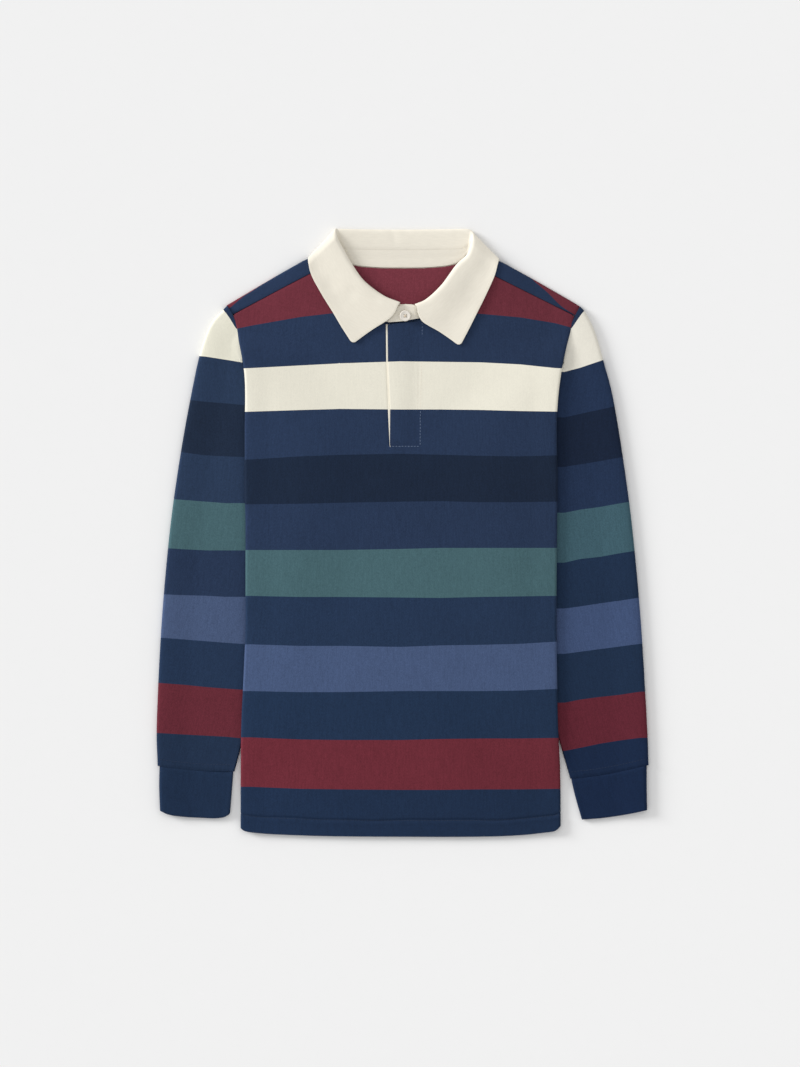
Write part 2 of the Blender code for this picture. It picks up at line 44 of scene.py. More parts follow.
# Cloth and layers, the same values as the part
CLOTH = 1.2
TWILL = 1.6
CUFF_WALL = 1.5
CLEAR = 0.3
LAYER_GAP = 0.6
SLEEVE_FOLD = 3.2
CUFF_FOLD = 3.8
BODY_FOLD = 4.2
FLAP_UNDER = 12.0
FLAP_AT_ARMHOLE = 4.0
CUT_RIGHT_X = 13.5
UNDERLAP_END_Y = 86.8
BUTTON_AT = (2.5, 207.0)
OVER_SLEEVE = SLEEVE_FOLD + CLEAR
OVER_FALL = TWILL + CLEAR
FRONT_RISE = CLOTH + LAYER_GAP
PAST_SLEEVE = 4.0
HEM_RISE = 0.5
LEAF_GAP = 0.5
FALL_UNDER_Z = TWILL / 2
STAND_BACK_Z = OVER_FALL + TWILL / 2

# Fitted to the picture more closely than the part, which has 46, 16 and 2.2
SLOPE_WIDTH = 72.0
HEM_DEPTH = 15.0          # the ditch beside the hem lies 0.9 further up
ROLL_PUFF = 1.3

# The dressing's own
SLEEVE_PUFF = 2.0         # the outer folds of sleeves and cuffs stand this much prouder
ROLL_REACH = 2.2          # the collar's roll takes up this much on either side
EDGE_SHARE = 0.28         # how much of a cloth's thickness its edges are rounded by
CUT_LEFT_X = -15.6
CUT_SHARE = 0.2375        # share of the front's length that the placket's cut-out takes
FRONT_LENGTH = 490
SIDE_TOP_Y = 206.8
HEM_CORNER_Y = -284.0
STRIPE_DEPTH = 45
HOLE_OUT = 1.45           # the button's holes stand this far from its middle
RIPPLE_WAVES = 7
COLLAR_STEPS = 9
FALL_STEPS = 5

# Outlines, in the picture's place. BODY_SIDES, HEM, FRONT_TOP, SLEEVE_REACH and COLLAR are the
# part's. The back's top and the sleeve heads differ from it by up to 5, the cuffs by up to 2 and
# the left cuff's sag by 2.5, to follow the picture more closely.
BODY_SIDES = {
    "y": (207, 194.5, 181.5, 169, 153, 130, 98, 50, 5, -82, -132, -178, -223, -283),
    "left": (-162.7, -157.7, -155.3, -152.9, -150.4, -149.5, -150, -150, -149.2, -149.2,
             -150.9, -153.1, -153.7, -153.8),
    "right": (164.2, 160.6, 156.8, 153.9, 150.9, 148, 146.5, 147.2, 146.8, 146.3,
              146.9, 147.6, 149.7, 150.3),
}
HEM = {
    "x": (-154, -144, -97, -59, 0, 36, 74, 112, 150.5),
    "y": (-281.8, -283.7, -286.6, -287.5, -287.9, -288, -287.8, -286.4, -282.2),
}
BACK_TOP = {
    "x": (-167, -141.5, -118, -94, -88, -80, -72, -66, -62, -57, -49, -38, -20, 0,
          20, 38, 49, 57, 62, 66, 72, 80, 88, 95, 127, 162, 168.6),
    "y": (216.8, 232.0, 245.8, 259.4, 262, 262, 262, 262, 261, 259.2, 256.8, 254.8, 253.6, 253.4,
          253.6, 254.8, 256.8, 259.2, 261, 261.5, 261.5, 261, 260.4, 257.7, 240, 219.8, 215.6),
}
FRONT_TOP = {
    "x": (-163, -141.5, -118, -88, -65.5, -64.5, -63, -54, -38, -15.6,
          13.5, 40, 57, 67, 70, 71, 89, 118, 144.5, 164.5),
    "y": (207, 218.6, 231.2, 246.8, 258.6, 250, 236, 220.5, 206.5, 199.4,
          202.6, 209, 221.5, 236, 248, 253.9, 244, 229.5, 216.3, 206.5),
}
SLEEVE_REACH = {
    "y": (190, 168, 140, 120, 95, 50, -15, -95, -184, -200, -225),
    "reach": (0, 3, 14, 28, 40, 42, 34, 21, 5, 1, 0),
}
SLEEVE_LEFT = {
    "out_x": (-166.6, -170.6, -178.5, -185, -192.6, -201.1, -211, -220.8, -228.7, -233.4, -232.7),
    "out_y": (216.8, 212.6, 204.4, 193, 170.2, 130.3, 75, 5, -82.5, -177.5, -220.4),
    "in_x": (-152.6, -152.0, -150.8, -138, -123, -111, -109, -116, -129, -149, -159.6),
    "in_y": (173, 166, 158, 142, 122, 95, 50, -15, -95, -184, -225.6),
    "bow": (3.2, 2.8, 2.0, 0, 0, 0, 0, 0, 0, 0, 0),
    "sag": (0, 0, 0, 0, 0, 0, 0, 0, 0, 0, 1.6),
}
SLEEVE_RIGHT = {
    "out_x": (168.6, 172.6, 178.5, 184, 192, 199.7, 209, 218.3, 226.3, 232.1, 233.7),
    "out_y": (215.8, 211.8, 201.5, 188, 160, 130.3, 75, 5, -82.5, -177.5, -219.6),
    "in_x": (153.8, 153.2, 152, 138, 122, 110, 107, 113, 125, 144, 159.4),
    "in_y": (173, 166, 158, 142, 122, 95, 50, -15, -95, -178, -232.6),
    "bow": (2.6, 2.4, 2.0, 0, 0, 0, 0, 0, 0, 0, 0),
    "sag": (0, 0, 0, 0, 0, 0, 0, 0, 0, 0, 1.6),
}
CUFF_LEFT = {
    "out_x": (-230.8, -231.2, -230.4), "out_y": (-219.8, -240, -262.6),
    "in_x": (-160.6, -162.2, -163.8), "in_y": (-225.0, -245, -263.4),
    "bow": (0, 0, 0), "sag": (1.6, 2.6, 7.1),
}
# Shape of the left cuff's opening: how much of its sag each share across has
CUFF_OPENING = {
    "share": (0, 0.05, 0.11, 0.34, 0.58, 0.75, 0.86, 0.93, 0.975, 1.0),
    "part": (0, 0.31, 0.55, 0.85, 0.95, 1.0, 0.93, 0.77, 0.5, 0),
}
CUFF_RIGHT = {
    "out_x": (232.0, 232.0, 232.4), "out_y": (-219.0, -242, -262.4),
    "in_x": (160, 164.2, 170.4), "in_y": (-232.0, -250, -271.4),
    "bow": (0, 0, 0), "sag": (1.6, 1.6, 1.6),
}
COLLAR = {
    "neck_x": (-14.0, -35.5, -52.5, -61.5, -62.6, -61.0, -60.2, -59.0, -55.2, -48, -37, -20, 0,
               20, 37, 48, 55.2, 60, 65.0, 68.6, 68.4, 64.2, 55, 38, 18),
    "neck_y": (201.2, 208.4, 222.6, 237.5, 250, 260.5, 267, 264, 258.6, 255.4, 253.4, 252.2, 252,
               252.2, 253.4, 255.4, 258.6, 264, 268, 262.5, 250, 237.5, 224, 211, 205),
    "seam_x": (-5.0, -23, -41.5, -52.5, -58.4, -61, -62.2, -60.6, -56.6, -50, -39, -20.5, 0,
               21, 39.5, 51, 58.4, 62.6, 65.2, 65.2, 62.8, 55.5, 43, 27.5, 14.5),
    "seam_y": (215.6, 221, 234.4, 249.5, 262.2, 272, 277, 274.6, 271.6, 270.4, 270, 269.8, 269.6,
               269.8, 270, 270.4, 271.6, 274.6, 277.5, 272, 261.4, 250, 232.4, 219.4, 214.6),
    "roll_x": (-2.4, -18.7, -36.3, -47.2, -57, -62.4, -63.9, -61.4, -55, -48, -38, -20, 0,
               21, 40, 50, 57.6, 63.8, 67.0, 65.6, 61.3, 51.2, 37.5, 22.9, 11.8),
    "roll_y": (219.2, 226, 239.3, 253.8, 271, 281.5, 288.4, 289.0, 288.8, 288.5, 288.3, 288.1, 288,
               288.2, 288.4, 288.6, 288.8, 288.2, 284.2, 275.5, 264.5, 254.6, 236, 222.4, 217.4),
    "free_x": (-47.5, -57.8, -66.1, -76.6, -86, -89.2, -89.0, -84.5, -70, -58, -44, -22, 0,
               22, 44, 58, 70, 85.5, 91, 90.2, 87.2, 79.4, 71, 62.7, 54.5),
    "free_y": (180.1, 196, 210.1, 227, 244.3, 255.6, 262, 259.6, 252.6, 249.6, 247.6, 246.4, 246,
               246.4, 247.6, 249.6, 252.6, 258.4, 261, 255.2, 244.3, 227, 210.1, 193.5, 178),
    "turn": (1, 1, 1, 1, 1, 1, 0.5, 0, 0, 0, 0, 0, 0,
             0, 0, 0, 0, 0, 0.5, 1, 1, 1, 1, 1, 1),
    "bow": (6, 2.4, 0.6, 0, 0, 0, 0, 0, 0, 0, 0, 0, 0,
            0, 0, 0, 0, 0, 0, 0, 0, 0, 0.6, 2.4, 5.5),
}

# Lines between the knitted stripes, top to bottom, at the listed distances across
BODY_LINES = {
    "x": (-158, -144, -97, -59, -2, 36, 74, 112, 145, 161),
    "rows": (
        (195.9, 198.9, 207.4, 211.9, 213.4, 212.9, 210.4, 206.9, 201.4, 196.9),
        (157.5, 158, 160.5, 162.5, 164.5, 164, 163.5, 161.5, 158, 157.5),
        (115.5, 116, 117.5, 118.5, 118, 118, 117.5, 116.5, 116, 116),
        (71.4, 71.9, 74.9, 76.4, 77.4, 76.4, 75.4, 74.9, 75.9, 75.9),
        (28.6, 28.6, 29.1, 30.1, 31.1, 31.6, 30.6, 30.6, 31.1, 31.1),
        (-15.5, -15.5, -15.5, -15.5, -14.5, -13.5, -13.5, -13.5, -13.5, -13.5),
        (-57.6, -57.6, -58.6, -58.6, -59.1, -59.6, -58.6, -58.1, -57.6, -57.6),
        (-104.4, -104.4, -105.9, -105.9, -106.9, -105.4, -104.9, -103.9, -101.9, -101.9),
        (-149.5, -149.5, -150.5, -150.5, -149.5, -149.5, -149.5, -149, -147.5, -147.5),
        (-192, -192, -194, -194.5, -194.5, -193.5, -193, -193, -192.5, -192.5),
        (-239.7, -239.7, -241.7, -242.2, -242.7, -242.7, -242.2, -242.2, -241.7, -241.7),
    ),
}
# Below the green band the navy and burgundy are copies with painted shade, darkened or retinted
# towards the foot.
BODY_BANDS = ("burgundy", "navy", "cream", "navy", "midnight", "navy", "green", "navy painted darker below",
              "blue", "navy painted darker low", "burgundy retinted for painted foot shade", "navy painted darkest at foot")
BACK_LINES = {
    "x": BODY_LINES["x"],
    "rows": ((226, 231, 247, 262, 263, 263, 262, 249, 230, 224),) + BODY_LINES["rows"],
}
# The back's second band is burgundy painted lighter, where it shows inside the neck.
BACK_BANDS = ("navy", "burgundy painted lighter inside neck") + BODY_BANDS[1:]
# The sleeves take copies of the yarns with painted light and shade: lighter on the left sleeve,
# darker on the right one and towards both wrists.
LEFT_BANDS = ("cream painted lighter left", "navy painted lighter left", "midnight painted lighter left", "navy painted lighter left", "green", "navy",
              "blue retinted for painted light left", "navy painted darker below", "burgundy painted darker low left", "navy painted darker at left wrist")
RIGHT_BANDS = ("cream painted darker right", "navy painted darker right", "midnight painted darker right", "navy painted darker right", "green painted darker right",
               "navy painted darker low", "blue retinted for painted shade right", "navy painted darker low", "burgundy painted darker right", "navy painted darker at right wrist")
LEFT_LINES = {
    "x": (-232, -206, -187, -168, -153),
    "rows": (
        (171.9, 170.4, 168.9, 165.9, 163.4),
        (131.5, 129, 127, 125.5, 124),
        (80.2, 77.2, 74.7, 73.7, 73.2),
        (35.1, 33.1, 31.6, 30.1, 30.1),
        (-13.4, -14.9, -15.9, -15.9, -15.9),
        (-56.8, -57.8, -58.3, -59.3, -59.3),
        (-97.2, -99.2, -100.7, -102.2, -103.2),
        (-141.3, -143.3, -145.3, -146.8, -147.8),
        (-188.3, -189.8, -190.8, -191.8, -193.3),
    ),
}
RIGHT_LINES = {
    "x": (154, 169, 188, 207, 226),
    "rows": (
        (154.4, 158.4, 164.9, 171.4, 177.9),
        (112, 115.5, 119.5, 124, 128),
        (63.7, 66.2, 69.2, 72.7, 76.2),
        (21.1, 24.1, 26.6, 30.1, 33.1),
        (-27.5, -24, -22, -18.5, -15.5),
        (-70.4, -68.4, -65.4, -62.9, -59.9),
        (-112.6, -110.6, -108.1, -105.6, -103.1),
        (-160.2, -157.2, -154.7, -152.7, -149.7),
        (-205.3, -202.3, -198.3, -195.3, -192.8),
    ),
}
# The navy edge of each armhole, and the burgundy corner of each shoulder strip
CRESCENT_LEFT = {"y": (190, 194.9, 206.1, 212.7, 216), "x": (-154, -158.1, -165.1, -170.2, -173)}
CRESCENT_RIGHT = {"y": (190, 195.2, 206.2, 211.9, 216), "x": (156, 160.6, 168.2, 172.5, 175)}
STRIP_CORNER = {
    "x": (-165.1, -162, -152.6, -141.5, -118, -90, 95, 120.6, 137.4, 149.7, 164.2),
    "y": (213.5, 216.2, 224.1, 231.0, 246.5, 270, 270, 243.6, 229.5, 217.2, 207.5),
}

# Yarn colours, as the light in the picture shows them (0 to 255). Navy, midnight, cream, burgundy,
# green and blue are the yarns' own; the other entries are copies of them made lighter, darker or
# retinted as painted light and shade: lighter on the left sleeve, darker on the right sleeve,
# darker towards the foot of the body and the sleeves, lighter where the back shows inside the
# neck.
YARN = {
    "navy": (41, 56, 83),
    "navy painted darker below": (38, 55, 82),
    "navy painted darker low": (35, 53, 80),
    "navy painted darkest at foot": (33, 50, 77),
    "midnight": (29, 41, 61),
    "cream": (232, 228, 213),
    "cream painted lighter left": (236, 233, 216),
    "cream painted darker right": (228, 224, 212),
    "burgundy": (109, 49, 60),
    "burgundy retinted for painted foot shade": (112, 46, 57),
    "burgundy painted lighter inside neck": (119, 55, 66),
    "green": (72, 102, 109),
    "blue": (73, 90, 125),
    "navy painted lighter left": (43, 59, 85),
    "midnight painted lighter left": (33, 45, 65),
    "blue retinted for painted light left": (74, 90, 123),
    "burgundy painted darker low left": (105, 45, 56),
    "navy painted darker at left wrist": (36, 52, 77),
    "navy painted darker right": (39, 55, 84),
    "midnight painted darker right": (28, 40, 62),
    "green painted darker right": (69, 100, 112),
    "blue retinted for painted shade right": (72, 90, 128),
    "burgundy painted darker right": (108, 44, 57),
    "navy painted darker at right wrist": (30, 47, 77),
}
# The cuffs are one rib: the left cuff's colour is painted lighter and the right cuff's darker, as
# painted light and shade.
LIT_LEFT_CUFF_YARN = (33, 50, 76)
SHADED_RIGHT_CUFF_YARN = (28, 45, 75)
TWILL_YARN = (234, 228, 214)
SLIP_YARN = (232, 226, 210)
BUTTON_PEARL = (217, 211, 202)
THREAD_BLUE = (104, 121, 148)
THREAD_NAVY = (30, 42, 63)
THREAD_CREAM = (236, 228, 208)
FLOOR_GREYS = ((241, 241, 241), (240, 240, 240))
PEARL_CLOUD = (230, 224, 213)
THREAD_WRIST = (27, 41, 66)
THREAD_ON_CREAM = (226, 214, 198)
THREAD_BUTTON = (224, 205, 178)


def linear(colour):
    """0-255 display colour to the linear values that shaders take."""
    parts = [c / 255 for c in colour]
    return tuple(c / 12.92 if c <= 0.04045 else ((c + 0.055) / 1.055) ** 2.4 for c in parts)


# ---------------------------------------------------------------- tables

def smoothstep(value, low, high):
    part = np.clip((np.asarray(value, float) - low) / (high - low), 0.0, 1.0)
    return part * part * (3.0 - 2.0 * part)


def along(table, key, value, name):
    keys = np.array(table[key], float)
    column = np.array(table[name], float)
    order = np.argsort(keys)
    return np.interp(value, keys[order], column[order])


def eased(table, key, value, name):
    """Reads a table on a smooth curve through its rows, without overshoot."""
    keys = np.array(table[key], float)
    order = np.argsort(keys)
    keys, column = keys[order], np.array(table[name], float)[order]
    step = np.diff(keys)
    slope = np.diff(column) / step
    tangent = np.concatenate(([slope[0]], (slope[:-1] + slope[1:]) / 2, [slope[-1]]))
    for index, steep in enumerate(slope):
        low, high = sorted((0.0, 3 * steep))
        tangent[index:index + 2] = np.clip(tangent[index:index + 2], low, high)
    value = np.clip(np.asarray(value, float), keys[0], keys[-1])
    cell = np.clip(np.searchsorted(keys, value) - 1, 0, len(step) - 1)
    t = (value - keys[cell]) / step[cell]
    return ((2 * t ** 3 - 3 * t ** 2 + 1) * column[cell]
            + (t ** 3 - 2 * t ** 2 + t) * step[cell] * tangent[cell]
            + (3 * t ** 2 - 2 * t ** 3) * column[cell + 1]
            + (t ** 3 - t ** 2) * step[cell] * tangent[cell + 1])


def smooth_column(column, steps):
    values = np.array(column, float)
    ends = np.concatenate(([2 * values[0] - values[1]], values, [2 * values[-1] - values[-2]]))
    result = []
    for index in range(len(values) - 1):
        before, start, end, after = ends[index:index + 4]
        for step in range(steps):
            t = step / steps
            result.append(0.5 * (2 * start + (end - before) * t
                                 + (2 * before - 5 * start + 4 * end - after) * t * t
                                 + (3 * start - before - 3 * end + after) * t ** 3))
    result.append(values[-1])
    return np.array(result)


def unit(vector):
    return vector / np.linalg.norm(vector)


def finer(stops, step):
    """Fills a rising or falling list of stops so that no gap is over step."""
    result = [stops[0]]
    for start, end in zip(stops, stops[1:]):
        count = max(1, math.ceil(abs(end - start) / step - 1e-9))
        result += [start + (end - start) * (k + 1) / count for k in range(count)]
    return np.array(result)


def side_x(side, y):
    return eased(BODY_SIDES, "y", y, side)


def flap(y):
    return FLAP_AT_ARMHOLE + (FLAP_UNDER - FLAP_AT_ARMHOLE) * (1 - smoothstep(y, 160, 186))


def under_body(x, y):
    """Underside of the body: up over the sleeves at the sides and over the collar's fall."""
    reach = eased(SLEEVE_REACH, "y", y, "reach")
    from_left = x - side_x("left", y)
    from_right = side_x("right", y) - x
    start, end = reach + PAST_SLEEVE, reach + PAST_SLEEVE + SLOPE_WIDTH
    cover = np.maximum(1 - smoothstep(from_left, start, end),
                       1 - smoothstep(from_right, start, end))
    beside_sleeve = (1 - smoothstep(y, 166, 196)) * smoothstep(y, -246, -202)
    neck = smoothstep(y, 212, 241) * (1 - smoothstep(np.abs(x), 96, 132))
    return np.maximum(OVER_SLEEVE * cover * beside_sleeve, OVER_FALL * neck)


def top_of_body(x, y):
    return under_body(x, y) + FRONT_RISE + CLOTH


def ripple(x, y, seed):
    """Slow uneven swell of cloth that lies, between -1 and 1."""
    rng = np.random.default_rng(seed)
    total = np.zeros(np.broadcast(x, y).shape)
    for _ in range(RIPPLE_WAVES):
        length = rng.uniform(55, 150)
        turn = rng.uniform(0, math.pi)
        phase = rng.uniform(0, 2 * math.pi)
        total = total + np.sin((x * math.cos(turn) + y * math.sin(turn)) * 2 * math.pi / length
                               + phase)
    return total / RIPPLE_WAVES


def stripe_value(lines, x, y):
    """Band number plus the share of the way to the next line, for the stripe attribute."""
    rows = [np.interp(x, lines["x"], row) for row in lines["rows"]]
    rows = [rows[0] + STRIPE_DEPTH] + rows + [rows[-1] - STRIPE_DEPTH]
    value = np.zeros(np.shape(x))
    for band in range(len(rows) - 1):
        share = np.clip((rows[band] - y) / (rows[band] - rows[band + 1]), 0, 1)
        value = value + share
    return value


# ---------------------------------------------------------------- mesh making

def use(item):
    bpy.ops.object.select_all(action="DESELECT")
    item.select_set(True)
    bpy.context.view_layer.objects.active = item


def apply(item, name, kind, **settings):
    """Gives an object a modifier with its settings, and applies it."""
    use(item)
    modifier = item.modifiers.new(name, kind)
    for key, value in settings.items():
        setattr(modifier, key, value)
    bpy.ops.object.modifier_apply(modifier=name)


def mesh_places(mesh):
    places = np.zeros(len(mesh.vertices) * 3, np.float32)
    mesh.vertices.foreach_get("co", places)
    return places.reshape(-1, 3)


def cloth_coordinates(points, closed):
    """Distances across and along the cloth at each grid point, in metres."""
    across = np.linalg.norm(np.diff(points, axis=1), axis=2)
    u = np.concatenate((np.zeros((len(points), 1)), np.cumsum(across, axis=1)), axis=1)
    u = u - u[:, u.shape[1] // 2][:, None]
    down = np.linalg.norm(np.diff(points, axis=0), axis=2)
    v = np.concatenate((np.zeros((1, points.shape[1])), np.cumsum(down, axis=0)), axis=0)
    if closed:
        v = np.broadcast_to(v.mean(axis=1)[:, None], v.shape)
    return u * MM, -v * MM


def cloth(name, points, thickness, lines=None, closed=False, present=None, corner=None):
    """A sheet of cloth through a grid of middle points, given its wall by Solidify.

    lines give the stripes, corner a second value per point for a contrasting corner.
    """
    if closed:
        points = np.concatenate((points, points[:, :1]), axis=1)
    rows, columns = points.shape[:2]
    bpy.ops.object.select_all(action="DESELECT")
    bpy.ops.mesh.primitive_grid_add(x_subdivisions=columns - 1, y_subdivisions=rows - 1, size=1)
    item = bpy.context.active_object
    item.name = item.data.name = name
    mesh = item.data
    while mesh.uv_layers:
        mesh.uv_layers.remove(mesh.uv_layers[0])
    mesh.vertices.foreach_set("co", (points * MM).astype(np.float32).ravel())
    u, v = cloth_coordinates(points, closed)
    corners = np.zeros(len(mesh.loops), np.int32)
    mesh.loops.foreach_get("vertex_index", corners)
    layer = mesh.uv_layers.new(name="cloth")
    layer.data.foreach_set("uv", np.stack((u.ravel()[corners], v.ravel()[corners]), 1)
                           .astype(np.float32).ravel())
    x, y = points[..., 0], points[..., 1]
    if corner is not None and closed:
        corner = np.concatenate((corner, corner[:, :1]), axis=1)
    stripe = None if lines is None else stripe_value(lines, x, y)
    for key, values in (("stripe", stripe), ("corner", corner)):
        if values is not None:
            kept = mesh.attributes.new(key, "FLOAT", "POINT")
            kept.data.foreach_set("value", values.astype(np.float32).ravel())
    work = bmesh.new()
    work.from_mesh(mesh)
    if present is not None:
        work.faces.ensure_lookup_table()
        gone = [face for face in work.faces
                if not present[min(v.index for v in face.verts) // columns,
                               min(v.index for v in face.verts) % columns]]
        bmesh.ops.delete(work, geom=gone, context="FACES")
    if closed:
        bmesh.ops.remove_doubles(work, verts=work.verts, dist=1e-6)
    work.normal_update()
    lift = sum(face.normal.z * face.calc_area() for face in work.faces)
    if not closed and lift < 0:
        bmesh.ops.reverse_faces(work, faces=work.faces)
    if closed:
        bmesh.ops.recalc_face_normals(work, faces=work.faces)
    work.to_mesh(mesh)
    work.free()
    apply(item, "wall", "SOLIDIFY", thickness=thickness * MM, offset=0, use_rim=True)
    apply(item, "edge", "BEVEL", width=EDGE_SHARE * thickness * MM, segments=2,
          limit_method="ANGLE", angle_limit=math.radians(50), use_clamp_overlap=True)
    bpy.ops.object.shade_smooth()
    return item


def round_corner(points, row_end, column_end, radius):
    """Rounds one corner of a grid in place; row_end and column_end are 0 or -1."""
    base = points.copy()
    row_line = base[row_end]
    column_line = base[:, column_end]
    inner_row = base[1 if row_end == 0 else -2, column_end]
    inner_column = base[row_end, 1 if column_end == 0 else -2]
    tip = base[row_end, column_end]
    out_of_row, out_of_column = unit(tip - inner_row), unit(tip - inner_column)
    rows, columns = base.shape[:2]
    for row in range(rows):
        along_edge = np.linalg.norm(column_line[row] - tip)
        if along_edge > radius:
            continue
        for column in range(columns):
            across_edge = np.linalg.norm(row_line[column] - tip)
            if across_edge > radius:
                continue
            p, q = 1 - along_edge / radius, 1 - across_edge / radius
            p_new = p * math.sqrt(1 - q * q / 2)
            q_new = q * math.sqrt(1 - p * p / 2)
            points[row, column] += radius * ((p_new - p) * out_of_row
                                             + (q_new - q) * out_of_column)


FOLD_STEPS = 8


def fold_profile(height, thickness):
    """Reach and height of the middle of a folded edge, from its lower to its upper layer."""
    radius = (height - thickness) / 2
    turns = [math.pi * step / FOLD_STEPS for step in range(FOLD_STEPS + 1)]
    return [(height / 2 - radius * math.sin(a), height / 2 - radius * math.cos(a)) for a in turns]


# ---------------------------------------------------------------- body

def seam_line_x(y):
    """Edge of the left front beside the cream slip, slanting in at the fly's end."""
    return np.interp(y, (81.0, 118, 160, 199), (-12.2, -13.9, -15.5, -15.9))


def fly_edge_x(y):
    return np.interp(y, (81.0, 90, 118, 160, 199), (-12.1, -12.0, -11.7, -13.8, -14.2))


FRONT_STEP = 2.4
BACK_STEP = 3.0
NECK_CUT = (-66.5, 72.0)     # the back's shoulder strips end here, left and right
# Where the hem's corners are and how far they are rounded
HEM_CORNERS = ((-153.8, 4.5), (150.3, 8.0))


def corner_lifts(x):
    """How far each rounded corner of the hem lifts its edge at x."""
    for edge_x, radius in HEM_CORNERS:
        near = np.minimum(np.abs(x - edge_x), radius)
        yield radius - np.sqrt(radius ** 2 - (radius - near) ** 2)


def build_front():
    """Front: shoulder seams and neck above, sides turned under, hem below, placket cut out."""
    fold = fold_profile(BODY_FOLD, CLOTH)
    inner = fold[-1][0]
    flat = FRONT_RISE + CLOTH / 2
    top_left, top_right = float(side_x("left", 207)), float(side_x("right", 207))
    left_x = finer((top_left + inner + 1.0, -150, -130, -108, -86, -70, -65.5, -64.5, -63, -54,
                    -44, -32, -22, CUT_LEFT_X), FRONT_STEP)
    cut_x = finer((CUT_LEFT_X, CUT_RIGHT_X), FRONT_STEP)[1:]
    right_x = finer((CUT_RIGHT_X, 24, 34, 44, 57, 67, 70, 71, 84, 108, 130, 150,
                     top_right - inner - 1.0), FRONT_STEP)[1:]
    hem_share = 1 - HEM_DEPTH / FRONT_LENGTH - 0.012
    downs = np.concatenate((finer((0, 0.02, CUT_SHARE), 0.0045),
                            finer((CUT_SHARE, hem_share), 0.0052)[1:],
                            finer((hem_share, 1.0), 0.0013)[1:]))

    edges = []
    for side, sign in (("left", 1), ("right", -1)):
        edge = [(lambda y, s=side, g=sign: side_x(s, y) + g * flap(y), CLOTH / 2),
                (lambda y, s=side, g=sign: side_x(s, y) + g * (flap(y) + 3) / 2, CLOTH / 2)]
        for reach, height in fold:
            edge.append((lambda y, s=side, g=sign, r=reach: side_x(s, y) + g * r, height))
        edges.append(edge)
    middle = []
    for x in left_x:
        share = (x - top_left - inner) / (CUT_LEFT_X - top_left - inner)
        middle.append(lambda y, s=share: (side_x("left", y) + inner) * (1 - s) + CUT_LEFT_X * s)
    for x in cut_x:
        middle.append(lambda y, c=x: np.full(np.shape(y), c))
    for x in right_x:
        share = (top_right - inner - x) / (top_right - inner - CUT_RIGHT_X)
        middle.append(lambda y, s=share: (side_x("right", y) - inner) * (1 - s) + CUT_RIGHT_X * s)
    paths = edges[0] + [(f, flat) for f in middle] + edges[1][::-1]
    turned = len(edges[0])
    points = np.zeros((len(downs), len(paths), 3))
    heights = np.zeros(points.shape[:2])
    for column, (x_at, height) in enumerate(paths):
        if column < turned or column >= len(paths) - turned:
            top = SIDE_TOP_Y
        else:
            top = 220.0
            for _ in range(14):
                top = 0.5 * top + 0.5 * float(along(FRONT_TOP, "x", x_at(top), "y"))
            top -= CLEAR
        bottom_x = float(x_at(HEM_CORNER_Y))
        bottom = float(eased(HEM, "x", bottom_x, "y"))
        for lift in corner_lifts(bottom_x):
            bottom += float(lift)
        y = top + (bottom - top) * downs
        points[:, column, 0] = x_at(y)
        points[:, column, 1] = y
        heights[:, column] = height
    x, y = points[..., 0].copy(), points[..., 1]
    from_side = np.minimum(x - side_x("left", y), side_x("right", y) - x)
    puffed = (fold[-1][1] - flat) * (1 - smoothstep(from_side, 3, 26))
    above = heights == flat
    upper = above | (heights > BODY_FOLD * 0.6)
    points[..., 2] = under_body(x, y) + heights + np.where(above, puffed, 0)
    from_hem = y - eased(HEM, "x", x, "y")
    for lift in corner_lifts(x):
        from_hem = from_hem - 0.35 * lift
    wander = 0.5 * np.sin(x / 23.0) + 0.3 * np.sin(x / 9.0 + 1.0)
    hem = HEM_RISE * (1 - smoothstep(from_hem, HEM_DEPTH - 1.6 + wander, HEM_DEPTH + 0.2 + wander))
    ditch = -0.85 * np.exp(-((from_hem - HEM_DEPTH - 0.9 - wander) / 1.2) ** 2)
    ditch = ditch + 0.25 * np.exp(-((from_hem - HEM_DEPTH + 2.4 - wander) / 1.8) ** 2)
    pucker = (0.10 * np.sin(x * 1.15 + 2 * np.sin(x / 17))
              * np.exp(-((from_hem - HEM_DEPTH) / 5) ** 2))
    swell = 0.28 * ripple(x, y, 3) + 0.10 * ripple(x * 3.1, y * 2.3, 4)
    points[..., 2] += np.where(upper, hem + ditch + pucker, 0) + np.where(above, swell, 0)
    seam_column = turned + len(left_x) - 1
    shift = ((seam_line_x(y) - CUT_LEFT_X) * (y > UNDERLAP_END_Y - 9)
             * (1 - smoothstep(-y, -UNDERLAP_END_Y, -78)))
    reach = smoothstep(np.arange(len(paths)), seam_column - 5, seam_column)
    reach[seam_column + 1:] = 0
    points[..., 0] += shift * reach[None, :]
    present = np.ones((len(downs) - 1, len(paths) - 1), bool)
    cut_rows = int(np.argmin(np.abs(downs - CUT_SHARE)))
    present[:cut_rows, seam_column:seam_column + len(cut_x)] = False
    return cloth("shirt_front", points, CLOTH, BODY_LINES, present=present)


